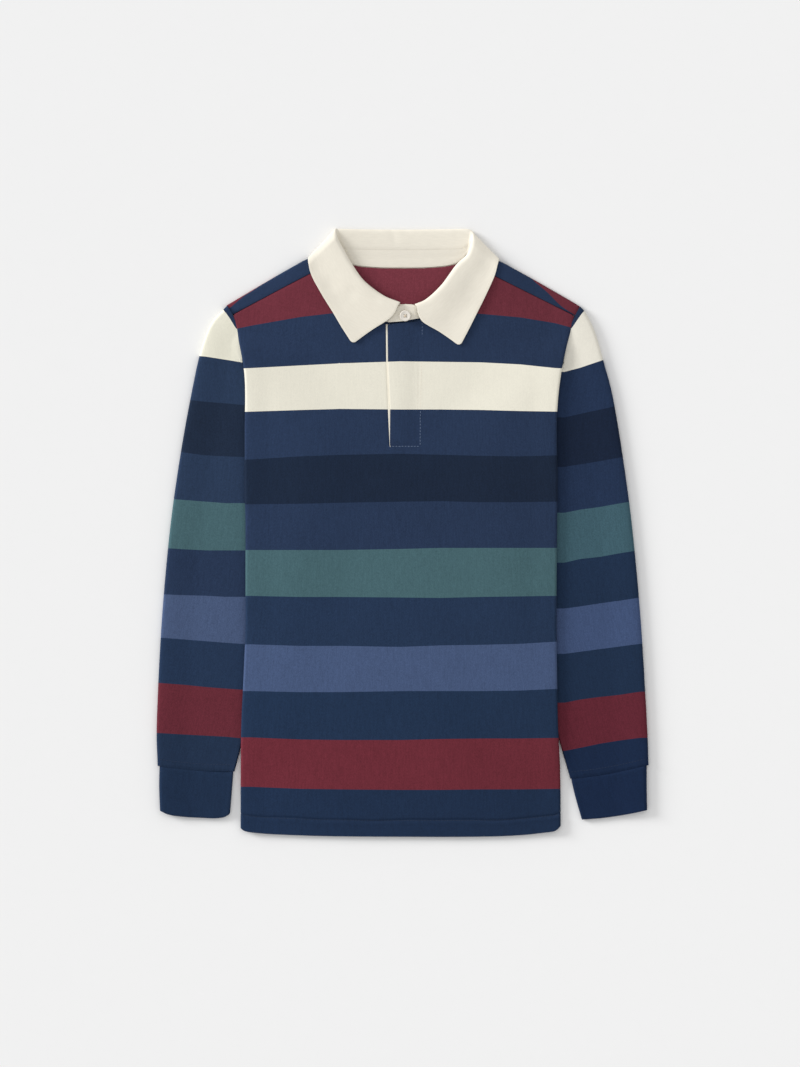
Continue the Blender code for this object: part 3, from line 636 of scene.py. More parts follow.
def build_back():
    """Back: the lower wall, turned over both shoulder folds to the forward seams."""
    height = 2 * CLOTH + LAYER_GAP
    fold = fold_profile(height, CLOTH)
    first_x, last_x = -163.5, 165.0
    neck_start, neck_end = NECK_CUT
    xs = finer((first_x, -152, -141.5, -128, -112, -97, -84, -73, neck_start, -62, -57, -49, -38,
                -20, 0, 20, 38, 49, 57, 62, 66, neck_end, 80, 91, 108, 127, 146, 158, last_x),
               BACK_STEP)
    downs = np.concatenate((finer((0, 0.06), 0.003), finer((0.06, 0.93), 0.009)[1:],
                            finer((0.93, 1.0), 0.005)[1:]))
    strip = finer((0.0, 1.0), 0.14)[1:]

    def edge(side, sign, y):
        lower = side_x(side, y) + sign * (flap(y) + CLEAR + 0.1)
        tip = first_x if sign > 0 else last_x
        return lower + (tip - lower) * smoothstep(y, 207.2, 209.5)

    rows = len(downs) + len(fold) - 1 + len(strip)
    points = np.zeros((rows, len(xs), 3))
    corner = np.full((rows, len(xs)), -5.0)
    for column, x_top in enumerate(xs):
        share = (x_top - first_x) / (last_x - first_x)
        reach_out = (-3.4 * (1 - smoothstep(x_top, first_x, first_x + 14))
                     + 3.2 * smoothstep(x_top, last_x - 14, last_x))
        x_fold = x_top + float(reach_out)
        top = float(along(BACK_TOP, "x", x_fold, "y"))
        x_bottom = (edge("left", 1, HEM_CORNER_Y) * (1 - share)
                    + edge("right", -1, HEM_CORNER_Y) * share)
        bottom = float(eased(HEM, "x", x_bottom, "y")) + 1.0
        last = top - fold[0][0]
        y = bottom + (last - bottom) * downs
        blend = smoothstep(y, 207.2, 214)
        x = edge("left", 1, y) * (1 - share) + edge("right", -1, y) * share
        points[:len(downs), column, 0] = x * (1 - blend) + x_fold * blend
        points[:len(downs), column, 1] = y
        points[:len(downs), column, 2] = CLOTH / 2
        for step, (reach, rise) in enumerate(fold[1:]):
            points[len(downs) + step, column] = x_fold, top - reach, rise
        seam = float(along(FRONT_TOP, "x", x_top, "y")) + CLEAR
        start = top - fold[-1][0]
        for step, part in enumerate(strip):
            y_strip = start + (seam - start) * part
            x_strip = x_fold + (x_top - x_fold) * part
            points[len(downs) + len(fold) - 1 + step, column] = x_strip, y_strip, fold[-1][1]
    x, y = points[..., 0], points[..., 1]
    points[..., 2] += under_body(x, y)
    folded = len(downs) + len(fold) // 2
    corner[folded:] = (y - eased(STRIP_CORNER, "x", x, "y"))[folded:]
    corner[len(downs):folded] = np.where(corner[folded] > -1.5, 4.0, -5.0)
    dip = smoothstep(np.linspace(0, 1, len(strip)), 0.72, 1.0)
    points[-len(strip):, :, 2] -= 0.35 * dip[:, None]
    present = np.ones((rows - 1, len(xs) - 1), bool)
    start = int(np.argmin(np.abs(xs - neck_start)))
    end = int(np.argmin(np.abs(xs - neck_end)))
    present[len(downs) - 1:, start:end] = False
    return cloth("shirt_back", points, CLOTH, BACK_LINES, present=present, corner=corner)


def set_strip_band(item, band):
    """The strip over the shoulders is cut from the band that lies over the fold."""
    stripe = item.data.attributes["stripe"]
    values = np.zeros(len(stripe.data), np.float32)
    stripe.data.foreach_get("value", values)
    x, y, z = (mesh_places(item.data) / MM).T
    lifted = z - under_body(x, y) > CLOTH + 0.45
    shoulder = lifted & ((x < NECK_CUT[0] - 0.1) | (x > NECK_CUT[1] + 0.1)) & (y > 200)
    values[shoulder] = band
    stripe.data.foreach_set("value", values)


# ---------------------------------------------------------------- sleeves and cuffs

STATION_STEP = 3.0
TUBE_STEPS = 24
TUBE_SHARES = np.linspace(0.06, 0.94, 36)
END_STEPS = np.array((0.5, 1.0, 1.6, 2.2))


def build_tube(name, table, wall, fold_height, lines, crescent=None, seam=None, opening=None):
    """A flattened open tube; its outer fold stands a little prouder than the solid's."""
    columns = {key: smooth_column(table[key], TUBE_STEPS) for key in table}
    middle = np.stack([(columns["out_" + axis] + columns["in_" + axis]) / 2 for axis in "xy"], 1)
    gone = np.concatenate(([0], np.cumsum(np.linalg.norm(np.diff(middle, axis=0), axis=1))))
    even = np.linspace(0, gone[-1], max(24, int(gone[-1] / STATION_STEP)))
    even = np.concatenate((even[:1], even[:1] + END_STEPS, even[1:-1], even[-1:] - END_STEPS[::-1],
                           even[-1:]))
    even = np.unique(np.clip(even, 0, gone[-1]).round(3))
    columns = {key: np.interp(even, gone, column) for key, column in columns.items()}
    sign = 1 if table["in_x"][0] > table["out_x"][0] else -1
    outer_fold = fold_profile(fold_height + SLEEVE_PUFF, wall)
    inner_fold = fold_profile(fold_height, wall)
    flat_low, flat_high = wall / 2, wall * 1.5 + CLEAR
    stations = []
    for k in range(len(even)):
        ox, oy, ix, iy = (columns[key][k] for key in ("out_x", "out_y", "in_x", "in_y"))
        bend, drop = columns["bow"][k], columns["sag"][k]
        width = math.hypot(ix - ox, iy - oy)
        ring = [(reach / width, height) for reach, height in outer_fold]
        rest = outer_fold[-1][1]
        for share in TUBE_SHARES:
            gap = min(share, 0.5) * width
            swell = (rest - flat_high) * (1 - smoothstep(gap, 3, 34))
            ring.append((share, flat_high + swell))
        ring += [(1 - reach / width, height) for reach, height in reversed(inner_fold)]
        ring += [(share, flat_low) for share in reversed(TUBE_SHARES)]
        upper = len(outer_fold) + len(TUBE_SHARES)
        station = []
        for place, (share, height) in enumerate(ring):
            share_in = min(max(share, 0), 1)
            arch = 1 - abs(2 * share_in - 1) ** 2.2
            if opening:
                arch = float(eased(opening, "share", share_in, "part"))
            x = ox + (ix - ox) * share + sign * bend * arch
            y = oy + (iy - oy) * share - drop * arch
            if len(outer_fold) <= place < upper:
                height += 0.22 * float(ripple(x, y, 11)) * arch
            station.append((x, y, height))
        stations.append(station)
    points = np.array(stations)
    upper = points[..., 2] > wall + 0.4
    gone, left = even[:, None], (even[-1] - even)[:, None]
    if seam == "end":
        groove = -0.35 * (1 - smoothstep(left, 0, 1.6)) - 0.22 * np.exp(-((left - 6.2) / 0.9) ** 2)
        groove = groove + 0.6 * np.exp(-((left - 3.7) / 1.9) ** 2)
    else:
        groove = -1.5 * (1 - smoothstep(gone, 0.4, 3.0)) - 0.3 * (1 - smoothstep(left, 0, 1.6))
    points[..., 2] += np.where(upper, groove, 0)
    corner = None
    if crescent is not None:
        line = eased(crescent, "y", points[..., 1], "x")
        corner = sign * (points[..., 0] - line)
        corner = np.where(points[..., 1] > 194, corner, -3.0)
    return cloth(name, points, wall, lines, closed=True, corner=corner)


# ---------------------------------------------------------------- collar

def collar_columns(steps):
    columns = {key: smooth_column(column, steps) for key, column in COLLAR.items()}
    columns["turn"] = np.clip(columns["turn"], 0, 1)
    return columns


def collar_spot(columns, line, k):
    return np.array((columns[line + "_x"][k], columns[line + "_y"][k]))


def aside_of(direction):
    """A quarter turn from the direction, to the side that points down the picture."""
    aside = np.array((-direction[1], direction[0]))
    return -aside if aside[1] > 0 else aside


def leaf_bend(columns, k, share, side):
    """How far a leaf's front edge bends out at a share of its length."""
    return columns["bow"][k] * float(eased(FRONT_EDGE, "share", share, side)) / 6


def front_stand_z(x, y):
    return under_body(x, y) + FRONT_RISE + CLOTH + CLEAR + TWILL / 2


def build_fall():
    """Fall: from its seam over the roll to the free edge, all round the neck."""
    col = collar_columns(COLLAR_STEPS)
    shares = (0.12, 0.24, 0.36, 0.55, 0.76, 1.0)
    sections = []
    count = len(col["turn"])
    for k, turn in enumerate(col["turn"]):
        seam, roll, free = (collar_spot(col, line, k) for line in ("seam", "roll", "free"))
        to_seam, to_free = unit(seam - roll), unit(free - roll)
        aside = aside_of(to_free)
        front_z = float(front_stand_z(*seam)) + 0.4
        seam_z = (STAND_BACK_Z - 0.25) * (1 - turn) + front_z * turn
        at_edge = "right" if k > count / 2 else "left"
        roll_top = float(top_of_body(*roll)) + CLEAR + TWILL / 2 + ROLL_PUFF + TWILL
        near_z = (STAND_BACK_Z + 0.9) * (1 - turn) + (front_z + 0.2) * turn
        far_z = FALL_UNDER_Z * (1 - turn) + (roll_top + 0.6) * turn
        reach = min(ROLL_REACH, 0.45 * np.linalg.norm(seam - roll))
        section = [(*seam, seam_z), (*(roll + to_seam * reach), near_z),
                   (*roll, (near_z + far_z) / 2), (*(roll + to_free * ROLL_REACH), far_z)]
        length = np.linalg.norm(free - roll)
        for share in shares:
            place = roll + to_free * (ROLL_REACH + (length - ROLL_REACH) * share)
            place = place + aside * leaf_bend(col, k, share, at_edge)
            rest = float(top_of_body(*place)) + LEAF_GAP + TWILL / 2
            drop = 1 - smoothstep(share, 0.0, 0.8)
            top_z = rest + (roll_top + 0.6 - rest) * drop
            section.append((*place, FALL_UNDER_Z * (1 - turn) + top_z * turn))
        sections.append(section)
    points = np.array([np.stack([smooth_column(axis, FALL_STEPS) for axis in section.T], axis=1)
                       for section in np.array(sections)])
    x, y = points[..., 0], points[..., 1]
    leaf = np.zeros(points.shape[:2])
    leaf[:, 3 * FALL_STEPS:] = 1.0
    turned = col["turn"][:, None]
    inside, on_front = (1 - turned) * (1 - leaf), turned * leaf
    for part, marks in ((inside, INSIDE_MARKS), (on_front, LEAF_FOLDS)):
        for start, end, depth, width in marks:
            away = line_distance(x, y, start, end) / width
            points[..., 2] += part * depth * np.exp(-away ** 2)
    points[..., 2] += on_front * 0.18 * ripple(x * 1.6, y * 1.6, 21)
    for row_end in (0, -1):
        round_corner(points, row_end, -1, 4.0)
    return cloth("collar_leaves", points, TWILL)


def line_distance(x, y, start, end):
    """Distance of points from a short line, millimetres."""
    ax, ay = start
    bx, by = end
    length = (bx - ax) ** 2 + (by - ay) ** 2
    t = np.clip(((x - ax) * (bx - ax) + (y - ay) * (by - ay)) / length, 0, 1)
    return np.hypot(x - ax - t * (bx - ax), y - ay - t * (by - ay))


# Small dents and swells of the fall where it faces up inside the neck
INSIDE_MARKS = (
    ((-11, 287), (-7, 281), -0.45, 2.2),
    ((-2, 279), (3, 276), 0.3, 3.0),
    ((52, 284), (63, 280), -0.4, 3.5),
    ((-40, 276), (30, 275), 0.2, 4.0),
)

# How far each leaf's front edge bulges, from the roll to the tip
FRONT_EDGE = {
    "share": (0, 0.1, 0.24, 0.36, 0.6, 1.0),
    "left": (0, 3.0, 4.6, 4.1, 1.9, 0),
    "right": (0, 4.6, 7.4, 6.4, 3.0, 0),
}

# Soft valleys and swells of the leaves: from, to, height, width. The marks above are the same.
LEAF_FOLDS = (
    ((-81, 250), (-68, 237), -0.5, 7.0),
    ((-68, 237), (-48, 229), -0.5, 7.0),
    ((-48, 229), (-26, 223), -0.45, 6.0),
    ((74, 257), (64, 236), -0.2, 8.0),
    ((64, 236), (46, 224), -0.2, 8.0),
    ((46, 224), (22, 215), -0.2, 7.0),
    ((-75, 226), (-58, 205), 0.3, 9.0),
    ((70, 222), (58, 200), 0.3, 9.0),
)


def build_stand():
    """Stand: from the neck seam up to the fall, its ends lapped over each other."""
    col = collar_columns(7)
    sections = []
    under_end = ((9.5, 203.6, 9.0, 218.0, 2.5), (-6.0, 201.4, -3.4, 218.0, 2.6))
    over_end = ((11.5, 204.0, 10.5, 217.6, 4.5), (0.5, 201.9, 2.5, 218.2, 4.5),
                (-13.6, 200.9, -10.5, 213.8, 4.4))
    shares = np.linspace(0, 1, 9)

    def strip(nx, ny, sx, sy, z_low, z_high):
        return [(nx + (sx - nx) * s, ny + (sy - ny) * s, z_low + (z_high - z_low) * s)
                for s in shares]

    under, over = ([strip(*row, row[4]) for row in rows] for rows in (under_end, over_end))
    for k, turn in enumerate(col["turn"]):
        neck, seam = (collar_spot(col, line, k) for line in ("neck", "seam"))
        up = unit(seam - neck)
        at_end = min(k, len(col["turn"]) - 1 - k) / 10
        seam = seam + up * (0.8 - 2.5 * turn * min(1.0, at_end))
        neck = neck + up * 0.9 * (1 - turn)
        level = float(under_body(*neck)) + FRONT_RISE + CLOTH / 2
        low = (STAND_BACK_Z - 0.2) * (1 - turn) + level * turn
        high = (STAND_BACK_Z - 0.35) * (1 - turn) + (float(front_stand_z(*seam)) + 0.4) * turn
        sections.append(strip(*neck, *seam, low, high))
    body = np.array(sections)
    first = between([*under, body[0]], 5)
    last = between([body[-1], *over], 5)[1:]
    points = np.concatenate((first, body, last, [over[-1]]))
    groove = np.exp(-((np.linspace(0, 1, len(shares)) - 0.5) / 0.12) ** 2)
    points[len(first):len(first) + len(body), :, 2] -= 0.22 * groove[None, :]
    return cloth("collar_band", points, TWILL)


def between(rows, steps):
    """Rows in a straight line from each given one to the next, without the last."""
    rows = [np.array(row) for row in rows]
    return np.array([start + (stop - start) * (k / steps)
                     for start, stop in zip(rows, rows[1:]) for k in range(steps)])


# ---------------------------------------------------------------- placket and button

FLY_END_X = 19.2


def placket_strip(ys, count, left, right, rise, z):
    """Grid of a strip of the placket, its upper end climbing by rise towards the right."""
    shares = np.linspace(0, 1, count)
    left, top = left[:, None], (rise * smoothstep(ys, 190, 199))[:, None]
    x = left + (right - left) * shares
    return np.stack((x, ys[:, None] + top * shares, np.full(x.shape, z)), axis=2)


def build_fly():
    """Fly of the placket, stitched down at its right and lower edges."""
    ys = finer((199.0, 196, 88, 79.6), 1.3)
    points = placket_strip(ys, 30, fly_edge_x(ys), FLY_END_X, 3.4,
                           FRONT_RISE + CLOTH + CLEAR + CLOTH / 2)
    x, y = points[..., 0], points[..., 1]
    puff = 0.30 * np.sin(np.pi * np.clip((x + 12) / 27, 0, 1)) + 0.12 * ripple(x * 4, y * 2, 31)
    puff = puff * (1 - smoothstep(x, 4, 15)) * smoothstep(y, 82, 92)
    sink = CLEAR + CLOTH
    bed = np.maximum(sink * smoothstep(x, -12.0, 18.0), sink * (1 - smoothstep(y, 82.0, 92.0)))
    bed = bed + 0.22 * np.exp(-((x - 16.4) / 0.8) ** 2) + 0.22 * np.exp(-((y - 83.0) / 0.8) ** 2)
    edge = np.maximum(smoothstep(x, 17.2, FLY_END_X), 1 - smoothstep(y, 79.6, 81.6))
    points[..., 2] += under_body(x, y) + puff - bed - 0.3 * edge
    return cloth("placket_fly", points, CLOTH, BODY_LINES)


def build_slip():
    """Cream underlap strip that shows as a slip beside the fly."""
    ys = finer((198.9, UNDERLAP_END_Y - 5), 2.2)
    points = placket_strip(ys, 12, seam_line_x(ys) + 0.05, CUT_RIGHT_X - CLEAR, 2.7,
                           FRONT_RISE + CLOTH / 2 + 0.1)
    x, y = points[..., 0], points[..., 1]
    under_fly = smoothstep(x - fly_edge_x(y), 0.3, 3.0)
    points[..., 2] += under_body(x, y) - 0.65 * under_fly * (1 - smoothstep(y, 88, 100))
    return cloth("placket_slip", points, CLOTH)


def build_button(base):
    """Four-hole button: a turned disc with a rim."""
    profile = ((0.0, 0.35), (4.3, 0.35), (5.1, 0.8), (5.3, 1.3), (5.2, 1.9), (4.75, 2.35),
               (4.2, 2.36), (3.6, 2.2), (3.0, 2.02), (2.0, 1.95), (0.0, 1.95))
    rings = 40
    angles = [2 * math.pi * k / rings for k in range(rings)]
    work = bmesh.new()
    loops = []
    for radius, height in profile:
        if radius == 0:
            loops.append([work.verts.new((0, 0, height * MM))])
            continue
        loops.append([work.verts.new((radius * math.cos(a) * MM, radius * math.sin(a) * MM,
                                      height * MM)) for a in angles])
    for low, high in zip(loops, loops[1:]):
        for k in range(rings):
            n = (k + 1) % rings
            if len(low) == 1:
                work.faces.new((low[0], high[n], high[k]))
            elif len(high) == 1:
                work.faces.new((low[k], low[n], high[0]))
            else:
                work.faces.new((low[k], low[n], high[n], high[k]))
    bmesh.ops.recalc_face_normals(work, faces=work.faces)
    mesh = bpy.data.meshes.new("band_button")
    work.to_mesh(mesh)
    work.free()
    item = bpy.data.objects.new("band_button", mesh)
    bpy.context.collection.objects.link(item)
    for k in range(4):
        angle = math.pi / 4 + k * math.pi / 2
        bpy.ops.object.select_all(action="DESELECT")
        bpy.ops.mesh.primitive_cylinder_add(vertices=14, radius=0.6 * MM, depth=8 * MM)
        cutter = bpy.context.active_object
        cutter.location = (HOLE_OUT * math.cos(angle) * MM, HOLE_OUT * math.sin(angle) * MM, 0)
        bpy.context.view_layer.update()
        apply(item, "hole", "BOOLEAN", operation="DIFFERENCE", object=cutter)
        bpy.data.objects.remove(cutter, do_unlink=True)
    place(item, (BUTTON_AT[0], BUTTON_AT[1], base))
    use(item)
    bpy.ops.object.shade_smooth_by_angle(angle=math.radians(35))
    return item


def place(item, spot):
    """Moves a finished mesh to its spot, leaving its object at the origin."""
    shift = Vector(spot) * MM
    for vertex in item.data.vertices:
        vertex.co += shift
    item.data.update()


# ---------------------------------------------------------------- sewing

def stitch_shape():
    """One laid thread, 1 mm long and 1 mm across, to be scaled for each row."""
    bpy.ops.object.select_all(action="DESELECT")
    bpy.ops.mesh.primitive_uv_sphere_add(segments=8, ring_count=5, radius=0.5)
    item = bpy.context.active_object
    mesh = item.data
    places = mesh_places(mesh)[:, [2, 0, 1]]
    places[:, 0] = np.sign(places[:, 0]) * np.abs(places[:, 0] * 2) ** 0.7 / 2
    faces = [tuple(reversed(p.vertices)) for p in mesh.polygons]
    bpy.data.objects.remove(item, do_unlink=True)
    return places, faces


STITCH = stitch_shape()


def path_points(path, pitch):
    """Evenly spaced places and directions along a line of millimetre points."""
    path = np.array(path, float)
    steps = np.linalg.norm(np.diff(path, axis=0), axis=1)
    gone = np.concatenate(([0], np.cumsum(steps)))
    count = max(1, int(gone[-1] / pitch))

    def spot(at):
        return np.array([np.interp(at, gone, path[:, axis]) for axis in (0, 1)])

    result = []
    for k in range(count):
        at = (k + 0.5) * gone[-1] / count
        result.append((spot(at), unit(spot(at + 0.6) - spot(at - 0.6))))
    return result


def sew(name, rows, carriers, colour, material, slot, grip=0.35):
    """Rows of laid stitches on the carriers' upper faces, joined as one piece.

    A row is (path, pitch, length, width, sink).
    """
    graph = bpy.context.evaluated_depsgraph_get()
    trees = [BVHTree.FromObject(carrier, graph) for carrier in carriers]
    shape, faces = STITCH
    rng = np.random.default_rng(len(name) * 7 + len(rows))
    places, polygons = [], []
    for path, pitch, length, width, sink in rows:
        for spot, heading in path_points(path, pitch):
            jitter = rng.normal(0, 0.05, 2)
            x, y = spot + jitter
            heights = []
            for offset in (-grip, grip):
                px, py = x + heading[0] * length * offset, y + heading[1] * length * offset
                start = Vector((px * MM, py * MM, 0.05))
                hits = [tree.ray_cast(start, Vector((0, 0, -1)), 0.08)[0] for tree in trees]
                hits = [hit.z / MM for hit in hits if hit is not None]
                if hits:
                    heights.append(max(hits))
            if len(heights) < 2:
                continue
            slope = (heights[1] - heights[0]) / (2 * grip * length)
            if abs(slope) > 0.8:
                continue
            turn = math.atan2(heading[1], heading[0]) + rng.normal(0, 0.03)
            scaled = shape * (length * rng.uniform(0.94, 1.05), width, width * 0.8)
            cx = scaled[:, 0] * math.cos(turn) - scaled[:, 1] * math.sin(turn) + x
            cy = scaled[:, 0] * math.sin(turn) + scaled[:, 1] * math.cos(turn) + y
            cz = scaled[:, 2] + scaled[:, 0] * slope + sum(heights) / 2
            cz += -sink + width * 0.12
            base = len(places) * len(shape)
            places.append(np.stack((cx, cy, cz), 1))
            polygons += [tuple(index + base for index in face) for face in faces]
    mesh = bpy.data.meshes.new(name)
    vertices = np.concatenate(places) * MM
    mesh.from_pydata([tuple(map(float, v)) for v in vertices], [], polygons)
    mesh.shade_smooth()
    item = bpy.data.objects.new(name, mesh)
    bpy.context.collection.objects.link(item)
    finish_piece(item, thread(material, colour), slot)
    return item


# ---------------------------------------------------------------- materials

class Nodes:
    """Short hand for building one material's node tree."""

    def __init__(self, name):
        self.material = bpy.data.materials.new(name)
        self.material.use_nodes = True
        self.tree = self.material.node_tree
        self.shader = self.tree.nodes["Principled BSDF"]

    def add(self, kind, **settings):
        node = self.tree.nodes.new(kind)
        for key, value in settings.items():
            setattr(node, key, value)
        return node

    def link(self, source, target):
        self.tree.links.new(source, target)

    def finish(self, colour, **inputs):
        """Links or sets the shader's inputs; an underscore stands for a space."""
        for key, value in {"Base_Color": colour, **inputs}.items():
            target = self.shader.inputs[key.replace("_", " ")]
            if isinstance(value, (int, float)):
                target.default_value = value
            else:
                self.link(value, target)
        return self.material

    def place(self):
        return self.add("ShaderNodeTexCoord").outputs["Object"]

    def cloth(self):
        return self.add("ShaderNodeUVMap", uv_map="cloth").outputs["UV"]

    def attribute(self, name):
        return self.add("ShaderNodeAttribute", attribute_name=name).outputs["Fac"]

    def fill(self, colour):
        node = self.add("ShaderNodeRGB")
        node.outputs[0].default_value = (*linear(colour), 1)
        return node.outputs[0]

    def split(self, vector):
        node = self.add("ShaderNodeSeparateXYZ")
        self.link(vector, node.inputs[0])
        return node.outputs

    def bump(self, height, strength, distance):
        node = self.add("ShaderNodeBump")
        node.inputs["Strength"].default_value = strength
        node.inputs["Distance"].default_value = distance
        self.link(height, node.inputs["Height"])
        return node.outputs["Normal"]

    def math(self, operation, *values):
        node = self.add("ShaderNodeMath", operation=operation)
        for index, value in enumerate(values):
            if isinstance(value, (int, float)):
                node.inputs[index].default_value = value
            else:
                self.link(value, node.inputs[index])
        return node.outputs[0]

    def wave(self, value, scale):
        """A sine of value times scale, brought between 0 and 1."""
        sine = self.math("SINE", self.math("MULTIPLY", value, scale))
        return self.math("MULTIPLY_ADD", sine, 0.5, 0.5)

    def range(self, value, low, high, to_low, to_high):
        node = self.add("ShaderNodeMapRange")
        self.link(value, node.inputs["Value"])
        for key, number in (("From Min", low), ("From Max", high), ("To Min", to_low),
                            ("To Max", to_high)):
            node.inputs[key].default_value = number
        return node.outputs["Result"]

    def noise(self, vector, scale, detail=2.0, stretch=(1, 1, 1)):
        mapping = self.add("ShaderNodeMapping")
        mapping.inputs["Scale"].default_value = stretch
        self.link(vector, mapping.inputs["Vector"])
        node = self.add("ShaderNodeTexNoise")
        node.inputs["Scale"].default_value = scale
        node.inputs["Detail"].default_value = detail
        self.link(mapping.outputs["Vector"], node.inputs["Vector"])
        return node.outputs["Fac"]

    def mix(self, factor, first, second):
        node = self.add("ShaderNodeMix", data_type="RGBA")
        for index, value in ((0, factor), (6, first), (7, second)):
            if isinstance(value, tuple):
                node.inputs[index].default_value = (*value, 1.0)
            else:
                self.link(value, node.inputs[index])
        return node.outputs[2]

    def scale_colour(self, colour, factor):
        node = self.add("ShaderNodeHueSaturation")
        self.link(colour, node.inputs["Color"])
        self.link(factor, node.inputs["Value"])
        return node.outputs["Color"]


TURN = 2 * math.pi
NOISE_LOW, NOISE_HIGH = 0.3, 0.7     # the span that a noise's values mostly fill
DYE_SWING = 0.10
# Painted shade: the jersey's colour at its foot is this share of its colour higher up.
PAINTED_FOOT_SHADE = 0.90
TWILL_PITCH = 0.0009
WEFT_PITCH = 0.00055


def knit(nodes, uv, wale, course):
    """Height of plain knit: columns of small Vs, wale wide and course high."""
    split = nodes.split(uv)
    u = nodes.math("MULTIPLY", split["X"], 1 / wale)
    v = nodes.math("MULTIPLY", split["Y"], 1 / course)
    place = nodes.math("FRACT", u)
    leg = nodes.math("ABSOLUTE", nodes.math("SUBTRACT", place, 0.5))
    loop = nodes.wave(nodes.math("ADD", v, nodes.math("MULTIPLY", leg, 1.5)), TURN)
    rounded = nodes.math("ABSOLUTE", nodes.math("SINE", nodes.math("MULTIPLY", place, TURN)))
    rounded = nodes.math("POWER", rounded, 0.6)
    return nodes.math("MULTIPLY", nodes.math("MULTIPLY_ADD", loop, 0.55, 0.45), rounded)


def striped(nodes, bands):
    """Colour of the knitted bands, read from the stripe attribute."""
    ramp = nodes.add("ShaderNodeValToRGB")
    ramp.color_ramp.interpolation = "CONSTANT"
    stops = ramp.color_ramp.elements
    while len(stops) < len(bands):
        stops.new(1.0)
    for index, band in enumerate(bands):
        stops[index].position = index / len(bands)
        stops[index].color = (*linear(YARN[band]), 1)
    nodes.link(nodes.math("MULTIPLY", nodes.attribute("stripe"), 1 / len(bands)),
               ramp.inputs["Fac"])
    return ramp.outputs["Color"]


def jersey(name, bands=None, colour=None, corner=None, wale=0.0011, course=0.00085,
           shade=(1.0, 1.0)):
    """Yarn-dyed jersey: stripes, knit loops, mottled dye and a soft nap, with painted shade across
    it and towards its foot.
    """
    nodes = Nodes(name)
    uv, where = nodes.cloth(), nodes.place()
    base = striped(nodes, bands) if bands else nodes.fill(colour)
    if corner:
        inside = nodes.math("GREATER_THAN", nodes.attribute("corner"), 0.0)
        base = nodes.mix(inside, base, linear(YARN[corner]))
    loops = knit(nodes, uv, wale, course)
    mottle = nodes.noise(where, 420.0, 2.0, (1.0, 0.55, 1.0))
    tone = nodes.range(loops, 0.0, 1.0, -0.16, 0.12)
    for noise, share in ((nodes.noise(where, 9.0, 3.0), 0.3), (mottle, 0.4),
                         (nodes.noise(uv, 1500.0, 1.0, (1.0, 0.4, 1.0)), 1.0),
                         (nodes.noise(uv, 620.0, 2.0, (1.0, 0.10, 1.0)), 0.5)):
        swing = DYE_SWING * share
        tone = nodes.math("ADD", tone, nodes.range(noise, NOISE_LOW, NOISE_HIGH, -swing, swing))
    light = nodes.add("ShaderNodeRGBToBW")
    nodes.link(base, light.inputs[0])
    tone = nodes.math("MULTIPLY_ADD", tone,
                      nodes.range(light.outputs[0], 0.03, 0.6, 1.4, 0.32), 1.0)
    # Painted shade: the colour is made lighter or darker from left to right by the shade factors,
    # and darker by up to a tenth towards the foot, less so on light yarns.
    split = nodes.split(where)
    across = nodes.range(split["X"], -0.17, 0.17, shade[0] - 1, shade[1] - 1)
    down = nodes.range(split["Y"], -0.28, 0.12, PAINTED_FOOT_SHADE - 1, 0.0)
    fall = nodes.math("MULTIPLY_ADD", nodes.math("ADD", across, down),
                      nodes.range(light.outputs[0], 0.15, 0.6, 1.0, 0.1), 1.0)
    tone = nodes.math("MULTIPLY", tone, fall)
    relief = nodes.math("MULTIPLY_ADD", nodes.noise(where, 2600.0), 0.35,
                        nodes.math("MULTIPLY", loops, 0.65))
    return nodes.finish(nodes.scale_colour(base, tone), Normal=nodes.bump(relief, 0.35, 0.00022),
                        Roughness=nodes.range(mottle, 0.2, 0.8, 0.86, 0.98),
                        Specular_IOR_Level=0.08, Sheen_Weight=0.03, Sheen_Roughness=0.45)


def twill(name, colour, shade=(1.0, 1.0)):
    """Brushed cotton twill: fine diagonal ribs crossed by the weft, with painted light and shade
    from left to right.
    """
    nodes = Nodes(name)
    uv, where = nodes.cloth(), nodes.place()
    split = nodes.split(uv)
    rib = nodes.wave(nodes.math("ADD", split["X"], split["Y"]), TURN / TWILL_PITCH)
    weft = nodes.wave(split["X"], TURN / WEFT_PITCH)
    weave = nodes.math("MULTIPLY_ADD", rib, 0.7, nodes.math("MULTIPLY", weft, 0.3))
    slub = nodes.noise(uv, 700.0, 2.0, (1.0, 0.2, 1.0))
    tone = nodes.range(nodes.noise(where, 16.0, 3.0), NOISE_LOW, NOISE_HIGH, 0.985, 1.015)
    # The last factor is painted light and shade, from the piece's left to its right.
    for value, *span in ((slub, NOISE_LOW, NOISE_HIGH, 0.975, 1.02), (weave, 0.0, 1.0, 0.95, 1.02),
                         (nodes.split(where)["X"], -0.09, 0.09, *shade)):
        tone = nodes.math("MULTIPLY", tone, nodes.range(value, *span))
    relief = nodes.math("MULTIPLY_ADD", slub, 0.5, nodes.math("MULTIPLY", weave, 0.5))
    return nodes.finish(nodes.scale_colour(nodes.fill(colour), tone),
                        Normal=nodes.bump(relief, 0.35, 0.00015),
                        Roughness=nodes.range(slub, 0.2, 0.8, 0.82, 0.94),
                        Specular_IOR_Level=0.2, Sheen_Weight=0.06)


def thread(name, colour):
    """Twisted sewing thread with a slight gloss."""
    nodes = Nodes(name)
    fibre = nodes.noise(nodes.place(), 3200.0)
    tone = nodes.range(fibre, NOISE_LOW, NOISE_HIGH, 0.86, 1.12)
    return nodes.finish(nodes.scale_colour(nodes.fill(colour), tone),
                        Normal=nodes.bump(fibre, 0.4, 0.0001), Roughness=0.6,
                        Specular_IOR_Level=0.35)


